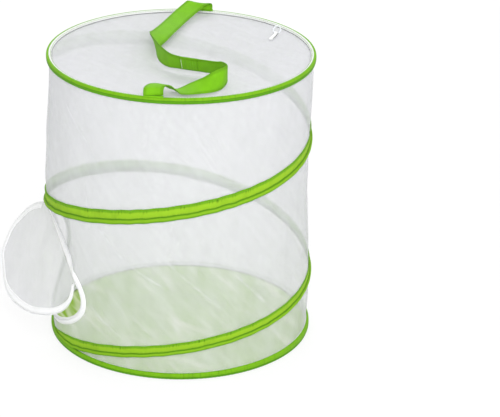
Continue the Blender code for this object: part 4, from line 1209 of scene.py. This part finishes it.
def make_band(steel):
    """The spiral tape, its two rows of stitches and the wire in its tunnel."""
    share = np.linspace(*BAND_SHARES, BAND_STATIONS + 1)
    azimuth = SPIRAL_START - TURN * SPIRAL_TURNS * share
    _, lower, upper = band_edges(np.minimum(share, 1.0))
    to_start, to_end = ((ease(away / BAND_TAPER_SHARE) * 0.95 + 0.05)
                        for away in (share - share[0], share[-1] - share))
    lower = upper - (upper - lower) * to_start
    upper = lower + (upper - lower) * to_end
    taper = to_start * to_end
    run = -azimuth * arc_radius()
    run = run - run[0]
    ripple = uneven_waves(run, drum().pucker)
    outline = ribbon_outline(band_section(), drum().band_cloth)
    down = outline[None, :, 1] * ((upper - lower) / drum().band_top)[:, None]
    flat = drum().band_top - drum().tunnel
    upper_edge = ease(1 - outline[:, 1] / (6 * MM))
    by_seam = ease(1 - np.abs(outline[:, 1] - flat + 1.5 * MM) / (4 * MM))
    front = outline[:, 0] > BAND_GAP + drum().band_cloth
    weight = np.maximum(upper_edge, 0.6 * by_seam) * front
    out = outline[None, :, 0] + 0.45 * MM * ripple[:, None] * weight[None, :]
    out = out * (0.3 + 0.7 * taper[:, None])
    down = down + 0.28 * MM * (1 - ripple[:, None]) * upper_edge[None, :]
    sway = 0.25 * MM * uneven_waves(run, 31 * MM)[:, None]
    points = wall_point(azimuth[:, None], upper[:, None] - down + sway, out)
    reverse = np.arange(len(outline)) < len(outline) // 2
    across = np.where(reverse, -MM - outline[:, 1], outline[:, 1])
    uv = np.stack(np.broadcast_arrays(run[:, None], across[None, :]), -1)
    grid = closed_ends((points, uv))
    tape = mesh_piece("spiral_tape", [grid], band_finish())
    add_pucker(tape)
    fitted(tape, "base", ["spiral_band"], LOW_RING_BOX[1].z)

    thread = thread_finish("band_thread", (0.20, 0.42, 0.03, 1.0))
    rows = []
    for below in (flat - 1.2 * MM, 2.2 * MM):
        height = upper - below * (upper - lower) / drum().band_top
        face = (BAND_GAP + 2.35 * drum().band_cloth) * (0.3 + 0.7 * taper)
        whole = slice(*np.searchsorted(share, (SPIRAL_TRIM_SHARE, 1 - SPIRAL_TRIM_SHARE)))
        path = wall_point(azimuth, height, face)[whole]
        rows.append((path, unit(path * (1, 1, 0))))
    row = stitches("spiral_stitches", rows, thread, *BAND_STITCH)
    fitted(row, "base", collapses=LOW_RING_BOX[1].z)

    middle = lower + 0.5 * drum().tunnel * (upper - lower) / drum().band_top
    within = taper > 0.99
    path = wall_point(azimuth[within][::4], middle[within][::4], drum().tunnel_out * 0.55)
    wire = mesh_piece("spiral_spring", [closed_ends(tube(path, drum().wire, 8))], steel)
    fitted(wire, "base", ["spiral_wire"], LOW_RING_BOX[1].z)


def add_pucker(tape):
    """How deep each point of the tape lies between two puckers, from 0 to 1, kept with the
    mesh for its material. It is worked out from the UV's run along the tape."""
    mesh = tape.data
    uv = np.empty(len(mesh.loops) * 2, np.float32)
    mesh.uv_layers["UVMap"].data.foreach_get("uv", uv)
    corner = np.empty(len(mesh.loops), np.int32)
    mesh.loops.foreach_get("vertex_index", corner)
    run = np.zeros(len(mesh.vertices))
    run[corner] = uv.reshape(-1, 2)[:, 0]
    values = 0.5 - 0.5 * uneven_waves(run, drum().pucker)
    layer = mesh.attributes.new("pucker", "FLOAT", "POINT")
    layer.data.foreach_set("value", values.astype(np.float32))


# Door


def make_rim(tape_finish, thread):
    """White tape round the opening and along the fold, with one row of stitches each."""
    curve = spaced(door_curve(), 240)
    low, high = TAPE_GAP, TAPE_GAP + door().tape
    inner, outer = offset_curve(curve, -0.6 * MM), offset_curve(curve, door().rim)
    first = unit(outer[0] - inner[0])
    fan = unit(-fold_inward() + (first + fold_inward()) * np.linspace(0, 1, 9)[:-1, None])
    inner = np.vstack([np.repeat(inner[:1], len(fan), axis=0), inner])
    outer = np.vstack([inner[:1] + fan * (door().rim + 0.6 * MM), outer])
    grid = laid_strip(inner, outer, on_wall, low, high, crown=TAPE_CROWN)
    rim = mesh_piece("rim_tape_sewn", [grid], tape_finish)
    fitted(rim, "base", ["rim_tape"], LOW_RING_BOX[1].z)
    rows = [on_surface(on_wall, offset_curve(curve, door().rim - SEAM_INSET), high + 0.5 * MM)]
    row = stitches("rim_stitches", rows, thread, *WHITE_STITCH)
    fitted(row, "base", collapses=LOW_RING_BOX[1].z)

    line, _ = fold_line()
    taper = np.interp(np.linspace(0, 1, len(line)), (0, 0.2, 1), (0.35, 1.0, 0.94))[:, None]
    upward = -fold_inward() * taper
    grid = laid_strip(line + upward * 0.4 * MM, line + upward * door().fold, on_wall, low, high,
                      crown=TAPE_CROWN)
    top, front = fold_ends()
    axis = top + (front - top) * np.linspace(0.01, 0.99, 61)[:, None]
    roll = closed_ends(tube(axis, door().tape * 0.95, 12))
    fold = mesh_piece("fold_tape", [grid, roll], tape_finish)
    fitted(fold, "door_carrier", ["hinge_tape"], FOLD_MIDDLE[2])
    rows = [on_surface(on_wall, line + upward * (door().fold - SEAM_INSET), high + 0.4 * MM)]
    row = stitches("fold_stitches", rows, thread, *WHITE_STITCH)
    fitted(row, "door_carrier", collapses=FOLD_MIDDLE[2])


def make_flap(tape_finish, thread):
    """The flap's net, its sewn hem and the hem's stitches. The net's first row is drawn onto
    a straight line beside the fold, so that it swings clear of the fold's tape."""
    edge = spaced(flap_edge(), 181)
    inward = fold_inward()
    ends = [door_place(pair) + inward * 2.0 * MM for pair in (FOLD_FRONT_SHARES, FOLD_TOP_SHARES)]
    edge[0], edge[-1] = ends
    share = np.linspace(0, 1, len(edge))[:, None]
    fold = ends[0] + (ends[1] - ends[0]) * share
    reach = np.linspace(0, 1, 60)[:, None, None]
    places = fold + (edge - fold) * reach
    points = on_flap(places)
    straight = points[0, :1] + (points[0, -1:] - points[0, :1]) * share
    points = points + (straight - points[0]) * (1 - ease(reach / 0.35))
    outwards = flap_point(places[0, 0], MM) - flap_point(places[0, 0])
    net = mesh_piece("net_flap", [(points, places)], net_finish("flap_net", cover=0.5),
                     facing=lambda middles: outwards, thickness=drum().net)
    fitted(net, "door", ["door_flap"], FOLD_MIDDLE[2])

    line = edge[3:-6]
    half = door().tape * 0.65
    depth = door().hem * np.interp(np.linspace(0, 1, len(line)), *HEM_WIDTHS)[:, None]
    inside = line + unit(offset_curve(line, -MM) - line) * depth
    grid = laid_strip(offset_curve(line, 0.3 * MM), inside, on_flap, -half, half)
    hem = mesh_piece("flap_hem_tape", [grid], tape_finish)
    fitted(hem, "door", ["flap_hem"], FOLD_MIDDLE[2])
    rows = [on_surface(on_flap, line + (inside - line) * share, half) for share in (0.2, 0.8)]
    row = stitches("hem_stitches", rows, thread, *WHITE_STITCH)
    fitted(row, "door", collapses=FOLD_MIDDLE[2])


def coil_path(track, surface, lift, radius, pitch):
    """A coil along a track: a circle square to the track whose angle grows evenly with the
    distance along it."""
    along = lengths_along(surface(track, lift))
    count = int(along[-1] / pitch) * 9
    wanted = np.linspace(0, along[-1], count)
    middle = np.stack([np.interp(wanted, along, column) for column in track.T], -1)
    angle = TURN * wanted / pitch
    way = unit(np.gradient(middle, axis=0))
    side = np.stack([-way[:, 1], way[:, 0]], -1)
    return surface(middle + side * (radius * np.cos(angle))[:, None], lift + radius * np.sin(angle))


def make_coils():
    """Both rows of the zip's coil, one on the rim's tape and one along the flap's edge."""
    finish = coil_finish()
    radius = door().coil - 0.28 * MM
    curve = spaced(door_curve(), 400)[6:-6]
    for name, node, body, fixed, track, surface, lift in (
            ("coil_on_rim", "zip_coil_wall", "base", LOW_RING_BOX[1].z,
             offset_curve(curve, 2.5 * MM), on_wall, door().coil_lift - 0.35 * MM),
            ("coil_on_flap", "zip_coil_flap", "door", FOLD_MIDDLE[2],
             offset_curve(curve, 1.1 * MM - door().inset), on_flap, 0.0)):
        path = coil_path(track, surface, lift, radius, door().coil_pitch)
        thread = closed_ends(tube(path, 0.30 * MM, 4, side_hint=(0.37, 0.61, 0.70)))
        fitted(mesh_piece(name, [thread], finish), body, [node], fixed)


# Zip slider, tab and stop, in the slider's own directions


def on_slider(local, origin):
    """Local lengths along the zip, across it and out of it, as places."""
    out = np.cross(ZIP_ACROSS, ZIP_ALONG)
    return (origin + local[..., 0:1] * ZIP_ALONG + local[..., 1:2] * ZIP_ACROSS
            + local[..., 2:3] * out)


def rounded_outline(length, width, corner, count=40):
    """A flat superellipse: cosine and sine raised to a small power, scaled to a rectangle."""
    turn = np.linspace(0, TURN, count + 1)
    return np.stack([length / 2 * squared(np.cos(turn), corner),
                     width / 2 * squared(np.sin(turn), corner)], -1)


def plate_grid(outline, hole, low, high, bevel):
    """A plate with a hole: outlines stacked from the hole's wall over the top, down the outside
    and back under."""
    rows = []
    for inner, drawn, level in ((1, 0, low + bevel), (1, 0, high - bevel), (1, bevel, high),
                                (0, bevel, high), (0, 0, high - bevel), (0, 0, low + bevel),
                                (0, bevel, low), (1, bevel, low), (1, 0, low + bevel)):
        loop = hole if inner else outline
        middle = loop.mean(axis=0)
        grow = 1 + (drawn if inner else -drawn) / np.abs(loop - middle).max()
        flat = middle + (loop - middle) * grow
        rows.append(np.column_stack([flat, np.full(len(flat), level)]))
    return np.array(rows)


def make_zip_fittings():
    """The slider with its bridge, its tab and the zip's end stop."""
    finish = metal_finish("zip_enamel", "metal", 0.35, 0.34, 700.0)
    out = np.cross(ZIP_ACROSS, ZIP_ALONG)
    zeros = np.zeros((1, 1, 2))
    coil_line = PULL_PIVOT - out * 3.0 * MM

    station = np.linspace(-1, 1, 17)
    half = 4.0 * MM * (0.78 + 0.22 * np.tanh(4 * (station + 0.15))) * (1 - 0.25 * station ** 8)
    turn = np.linspace(0, TURN, 25)
    wide, tall = squared(np.cos(turn), 0.45), squared(np.sin(turn), 0.45)
    crown = 1 - 0.5 * np.abs(station) ** 6
    level = 1.75 * MM + 0.5 * MM * tall[None, :] * crown[:, None]
    skirt = np.where(tall < 0, 1.0, 0.0)[None, :] * (np.abs(wide) > 0.85)[None, :] * 1.6 * MM
    body = np.stack([np.broadcast_to(station[:, None] * 5.0 * MM, level.shape),
                     half[:, None] * wide[None, :], level - skirt * crown[:, None]], -1)
    bend = np.linspace(0, math.pi, 21)
    bridge = np.column_stack([-3.0 * MM * squared(np.cos(bend), 0.5), np.zeros_like(bend),
                              1.9 * MM + 2.6 * MM * np.abs(np.sin(bend)) ** 0.5])
    way = unit(np.gradient(bridge, axis=0))
    rise = np.cross(way, (0.0, 1.0, 0.0))
    ring = np.linspace(0, TURN, 13)
    bar = (bridge[:, None] + np.cos(ring)[None, :, None] * np.array([0.0, 1.1 * MM, 0.0])
           + np.sin(ring)[None, :, None] * rise[:, None] * 0.45 * MM)
    grids = [(on_slider(capped(shape), coil_line), zeros) for shape in (body, bar)]
    slider = mesh_piece("zip_slider_body", grids, finish)
    fitted(slider, "zip_runner", ["zip_slider"])

    outline = rounded_outline(22 * MM, 6 * MM, 0.55) + (-10.6 * MM, 0.0)
    outline[:, 1] *= 0.78 + 0.22 * ease(-outline[:, 0] / (12 * MM))
    eye = rounded_outline(4.4 * MM, 3.1 * MM, 0.7) + (-2.1 * MM, 0.0)
    tab = on_slider(plate_grid(outline, eye, -0.5 * MM, 0.5 * MM, 0.25 * MM), PULL_PIVOT)
    grip = rounded_outline(9 * MM, 3.2 * MM, 0.6, 24) + (-14.5 * MM, 0.0)
    boss = [np.column_stack([grip.mean(axis=0) + (grip - grip.mean(axis=0)) * s,
                             np.full(len(grip), z * MM)])
            for s, z in ((1.0, 0.4), (0.94, 0.7), (0.7, 0.74), (0.0, 0.74))]
    boss = [np.column_stack([boss[-1][:, :2], np.full(len(grip), 0.4 * MM)])] + boss
    raised = on_slider(np.array(boss), PULL_PIVOT)
    pull = mesh_piece("zip_pull_tab", [(tab, zeros), (raised, zeros)], finish)
    fitted(pull, "pull_tab", ["zip_pull"])

    low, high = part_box("zip_stop")
    middle = np.array((low + high) / 2)
    rows = [(2.0, -0.8, 0.7), (2.0, -0.8, 1.0), (2.0, 0.45, 1.0), (2.0, 0.8, 0.72), (2.0, 0.8, 0.0)]
    rows = [(2.0, -0.8, 0.0)] + rows
    loop = rounded_outline(2.0, 2.0, 0.4, 24)
    stack = np.array([np.column_stack([loop * wide * share * MM, np.full(len(loop), z * MM)])
                      for wide, z, share in rows])
    stop = mesh_piece("zip_end_stop", [(on_slider(stack, middle), zeros)], finish)
    fitted(stop, "zip_carrier", ["zip_stop"])


# Strap


def strap_run(stations, steps=14):
    """Middle line of the strap, and its width and face directions along it."""
    radius, width = drum().ring_radius, strap().width
    middles = [(x * radius, y * radius, drum().height + h * width) for x, y, h, _ in stations]
    path = curve_through(middles, steps)
    wide = curve_through(unit([w for _, _, _, w in stations]), steps)
    way = unit(np.gradient(path, axis=0))
    wide = unit(wide - way * np.sum(wide * way, axis=1)[:, None] * 0.5)
    return path, wide, unit(np.cross(way, wide))


def strap_grid(path, wide, face, thick):
    """A flat strap: a long rounded section carried along the run, crowned a little across."""
    turn = np.linspace(0, TURN, 29)
    w, t = squared(np.cos(turn), 0.45), squared(np.sin(turn), 0.7)
    points = (path[:, None] + wide[:, None] * (w * strap().width / 2)[None, :, None]
              + face[:, None] * (t * thick / 2)[None, :, None])
    run = lengths_along(path)
    uv = np.stack(np.broadcast_arrays(run[:, None], (w * strap().width / 2)[None, :]), -1)
    return closed_ends((points, uv))


def make_strap():
    """The two halves of the strap, the seam where they overlap, and the tabs on the top ring."""
    finish = woven_finish("strap_tape", "strap", 1.1 * MM, 0.7, 0.06, 0.4, edge_shade_from=9 * MM)
    thread = thread_finish("strap_thread", (0.15, 0.40, 0.008, 1.0))
    white = thread_finish("seam_thread", tint("thread"))
    seam_path, seam_wide, seam_face = strap_run(STRAP_SEAM)
    for name, node, stations, end in (("strap_front", "handle_strap_front", STRAP_FRONT, -1),
                                      ("strap_rear", "handle_strap_rear", STRAP_REAR, 0)):
        path, wide, face = strap_run(stations)
        piece = mesh_piece(name + "_half", [strap_grid(path, wide, face, strap().cloth)], finish)
        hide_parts(node)
        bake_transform(piece)
        rows = []
        for edge in (-1, 1):
            line = path + wide * edge * (strap().width / 2 - 2.4 * MM)
            for side in (-1, 1):
                rows.append((line + face * side * strap().cloth * 0.48, face * side))
        row = stitches(name + "_stitches", rows, thread, *STRAP_STITCH)
        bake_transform(row)

    grid = strap_grid(seam_path + (seam_path - seam_path.mean(axis=0)) * 0.15, seam_wide,
                      seam_face, strap().seam)
    patch = mesh_piece("strap_seam", [grid], finish)
    fitted(patch, "handle", ["handle_seam"])
    rows = []
    for share in (0.06, 0.22, 0.38, 0.70, 0.97):
        middle = seam_path[0] + (seam_path[-1] - seam_path[0]) * share
        spread = np.linspace(-1, 1, 24)[:, None] * seam_wide[0] * (strap().width / 2 - 2 * MM)
        for side in (-1, 1):
            line = middle + spread + seam_face[0] * side * strap().seam * 0.5
            rows.append((line, np.broadcast_to(seam_face[0] * side, line.shape)))
    for name, part, finish_used in (("seam_stitches", rows[:-2], thread),
                                    ("seam_end_stitches", rows[-2:], white)):
        row = stitches(name, part, finish_used, *SEAM_STITCH)
        fitted(row, "handle")
    make_strap_tabs(finish, thread)


def make_strap_tabs(finish, thread):
    """The folded ends of the strap on the top ring, each sewn down with two rows."""
    middle_radius = drum().ring_radius - drum().ring_size / 2
    for name, node, degrees in (("tab_front", "handle_anchor_front", TAB_FRONT_DEG),
                                ("tab_rear", "handle_anchor_rear", TAB_REAR_DEG)):
        angle = math.radians(degrees)
        out = np.array([math.cos(angle), math.sin(angle), 0.0])
        side = np.array([-math.sin(angle), math.cos(angle), 0.0])
        centre = out * middle_radius + UP * (drum().height + 0.85 * MM)
        loop = rounded_outline(strap().width, strap().tab, 0.35, 36)
        rows = []
        for share, level in ((0.0, -0.9), (0.98, -0.9), (1.0, -0.7), (1.0, 0.35), (0.95, 0.6),
                             (0.0, 0.7)):
            flat = loop * share
            rows.append(centre + flat[:, :1] * side + flat[:, 1:] * out + level * MM * UP)
        uv = np.stack(np.broadcast_arrays(loop[None, :, 0], loop[None, :, 1]), -1)
        piece = mesh_piece("strap_" + name, [(np.array(rows), uv)], finish)
        fitted(piece, "top", [node])
        span = np.linspace(-1, 1, 20)[:, None] * side * (strap().width / 2 - SEAM_INSET)
        seams = [(centre + span + out * shift * MM + UP * 0.68 * MM,
                  np.broadcast_to(UP, span.shape)) for shift in (-1.7, 1.7)]
        row = stitches("strap_" + name + "_stitches", seams, thread, *TAB_STITCH)
        fitted(row, "top")


# Clear ring in its ribbon


def make_hang_ring(tape_finish):
    """The clear ring, and the white ribbon looped round it and sewn to the top net."""
    low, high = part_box("hang_ribbon")
    side = unit(RING_SIDE)
    way = unit(np.cross(UP, side)) * -1
    if way[0] * (RING_PIVOT[0] - (low.x + high.x) / 2) < 0:
        way = -way
    bore = 1.35 * MM
    turn = np.linspace(-0.5 * math.pi, 1.15 * math.pi, 15)
    loop = np.column_stack([bore * np.cos(turn), bore * np.sin(turn)])
    tail = np.array([(-23 * MM, -bore - 0.55 * MM), (-12 * MM, -bore - 0.25 * MM)])
    back = np.array([(-3.4 * MM, -bore + 0.55 * MM), (-12 * MM, -bore + 0.35 * MM),
                     (-23 * MM, -bore)])
    section = ribbon_outline(curve_through(np.vstack([tail, loop, back]), 3), 0.45 * MM)
    wide = np.linspace(-1, 1, 5) * 2.5 * MM
    rows = [RING_PIVOT + section[:, :1] * way + section[:, 1:] * UP + w * side for w in wide]
    around = lengths_along(section)
    uv = np.stack(np.broadcast_arrays(around[None, :], wide[:, None]), -1)
    ribbon = mesh_piece("ring_ribbon", [closed_ends((np.array(rows), uv))], tape_finish)
    fitted(ribbon, "top", ["hang_ribbon"])

    lowest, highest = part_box("hang_ring")
    centre = np.array((lowest + highest) / 2)
    rise = unit(centre - RING_PIVOT)
    spin = np.linspace(0, TURN, 73)[:, None]
    path = centre + 5.0 * MM * (rise * np.cos(spin) + side * np.sin(spin))
    outward = (path - centre) / (5.0 * MM)
    flat = np.cross(rise, side)
    bead = np.linspace(0, TURN, 17)[None, :, None]
    points = path[:, None] + 0.9 * MM * (np.cos(bead) * outward[:, None] + np.sin(bead) * flat)
    ring = mesh_piece("clear_hang_ring", [(points, np.zeros((1, 1, 2)))], clear_finish())
    fitted(ring, "clear_ring", ["hang_ring"])


# Stage


def plain_floor():
    """Pale floor: seen straight, mostly its own white, so that only soft shadows show on it."""
    finish = Finish("stage_floor")
    path = finish.node("LightPath").outputs
    seen = finish.math("MAXIMUM", path["Is Camera Ray"], path["Is Glossy Ray"])
    seen = finish.math("MAXIMUM", seen, path["Is Transmission Ray"])
    matt = finish.node("BsdfDiffuse", {"Color": (0.86, 0.86, 0.86, 1.0)}).outputs[0]
    glow = finish.node("Emission", {"Color": (1.0, 1.0, 1.0, 1.0), "Strength": 1.0}).outputs[0]
    share = finish.math("MULTIPLY", seen, 0.80)
    return finish.done(finish.node("MixShader", {0: share, 1: matt, 2: glow}).outputs[0])


def make_stage():
    """White floor and world, three soft lamps, and the camera at the photograph's angle."""
    scene = bpy.context.scene
    reach = 6.0
    corners = np.array([[(x, y, 0) for x in (-reach, reach)] for y in (-reach, reach)])
    ground = mesh_piece("stage_ground", [(corners - UP * 0.3 * MM, np.zeros((1, 1, 2)))],
                        plain_floor(), facing=lambda middles: UP)

    world = bpy.data.worlds.new("stage_world")
    world.use_nodes = True
    nodes, links = world.node_tree.nodes, world.node_tree.links
    background = nodes["Background"]
    background.inputs["Color"].default_value = (1.0, 1.0, 1.0, 1.0)
    path = nodes.new("ShaderNodeLightPath")
    seen = nodes.new("ShaderNodeMath")
    seen.operation = "MAXIMUM"
    links.new(path.outputs["Is Camera Ray"], seen.inputs[0])
    links.new(path.outputs["Is Glossy Ray"], seen.inputs[1])
    strength = nodes.new("ShaderNodeMapRange")
    strength.inputs["To Min"].default_value = WORLD_LIGHT
    strength.inputs["To Max"].default_value = 1.0
    links.new(seen.outputs[0], strength.inputs["Value"])
    links.new(strength.outputs[0], background.inputs["Strength"])
    scene.world = world

    for name, place, power, across in LAMPS:
        lamp = bpy.data.lights.new(name, "AREA")
        lamp.energy = power
        lamp.size = across
        item = bpy.data.objects.new(name, lamp)
        item.location = place
        look = np.array(LAMP_AIM) - place
        item.rotation_euler = (math.pi / 2 - math.atan2(-look[2], math.hypot(*look[:2])), 0.0,
                               math.atan2(-look[0], look[1]))
        scene.collection.objects.link(item)

    camera = bpy.data.cameras.new("photo_camera")
    camera.sensor_width = 36.0
    camera.lens = CAMERA_LENS
    camera.clip_end = 50.0
    item = bpy.data.objects.new("photo_camera", camera)
    item.location = CAMERA_PLACE
    item.rotation_mode = "XYZ"
    item.rotation_euler = (math.radians(90 - CAMERA_DOWN_DEG), 0.0,
                           math.radians(CAMERA_ASIDE_DEG))
    scene.collection.objects.link(item)
    bpy.context.view_layer.update()
    item.rotation_euler = (item.matrix_world.to_3x3()
                           @ Matrix.Rotation(math.radians(CAMERA_ROLL_DEG), 3, "Z")).to_euler()
    scene.camera = item
    scene.view_settings.view_transform = "Standard"
    scene.cycles.transparent_max_bounces = 32


# Operators


class CAGE_OT_net(bpy.types.Operator):
    """Make the net wall, the top net and the floor cloth"""

    bl_idname = "cage.net"
    bl_label = "Net wall, top and floor"

    def execute(self, context):
        make_wall()
        make_top()
        make_floor()
        return {"FINISHED"}


class CAGE_OT_rings(bpy.types.Operator):
    """Make the bound rings and the spiral band with its wire"""

    bl_idname = "cage.rings"
    bl_label = "Rings and spiral"

    def execute(self, context):
        make_band(make_rings())
        return {"FINISHED"}


class CAGE_OT_door(bpy.types.Operator):
    """Make the door's tapes, its flap and the clear ring's ribbon"""

    bl_idname = "cage.door"
    bl_label = "Door and flap"

    def execute(self, context):
        tape_finish = woven_finish("white_tape", "tape", 0.8 * MM, 0.8, 0.1, 0.12)
        thread = thread_finish("white_thread", (0.70, 0.70, 0.72, 1.0))
        make_rim(tape_finish, thread)
        make_flap(tape_finish, thread)
        make_hang_ring(tape_finish)
        return {"FINISHED"}


class CAGE_OT_zip(bpy.types.Operator):
    """Make the zip's coils, slider, tab and end stop"""

    bl_idname = "cage.zip"
    bl_label = "Zip"

    def execute(self, context):
        make_coils()
        make_zip_fittings()
        return {"FINISHED"}


class CAGE_OT_strap(bpy.types.Operator):
    """Make the carrying strap with its seam and tabs"""

    bl_idname = "cage.strap"
    bl_label = "Carrying strap"

    def execute(self, context):
        make_strap()
        return {"FINISHED"}


class CAGE_OT_stage(bpy.types.Operator):
    """Make the floor, the lamps and the camera"""

    bl_idname = "cage.stage"
    bl_label = "Stage"

    def execute(self, context):
        make_stage()
        return {"FINISHED"}


OPERATORS = (CAGE_OT_net, CAGE_OT_rings, CAGE_OT_door, CAGE_OT_zip, CAGE_OT_strap, CAGE_OT_stage)
GROUPS = {"cage_drum": CageDrum, "cage_door": CageDoor, "cage_strap": CageStrap,
          "cage_colours": CageColours}


class CAGE_PT_panel(bpy.types.Panel):
    """Sizes, colours and pieces of the cage"""

    bl_label = "Insect cage"
    bl_space_type = "VIEW_3D"
    bl_region_type = "UI"
    bl_category = "Cage"

    def draw(self, context):
        for operator in OPERATORS:
            self.layout.operator(operator.bl_idname)
        for name, group in GROUPS.items():
            box = self.layout.box()
            for key in group.__annotations__:
                box.prop(getattr(context.scene, name), key)


def register():
    """Registers the settings, the operators and the panel."""
    for group in (*GROUPS.values(), *OPERATORS, CAGE_PT_panel):
        bpy.utils.register_class(group)
    for name, group in GROUPS.items():
        setattr(bpy.types.Scene, name, bpy.props.PointerProperty(type=group))


def unregister():
    """Takes them out again."""
    for name in GROUPS:
        delattr(bpy.types.Scene, name)
    for group in (*GROUPS.values(), *OPERATORS, CAGE_PT_panel):
        bpy.utils.unregister_class(group)


def main():
    """Makes every piece and the stage."""
    register()
    for operator in OPERATORS:
        group, name = operator.bl_idname.split(".")
        getattr(getattr(bpy.ops, group), name)()


if __name__ == "__main__":
    main()
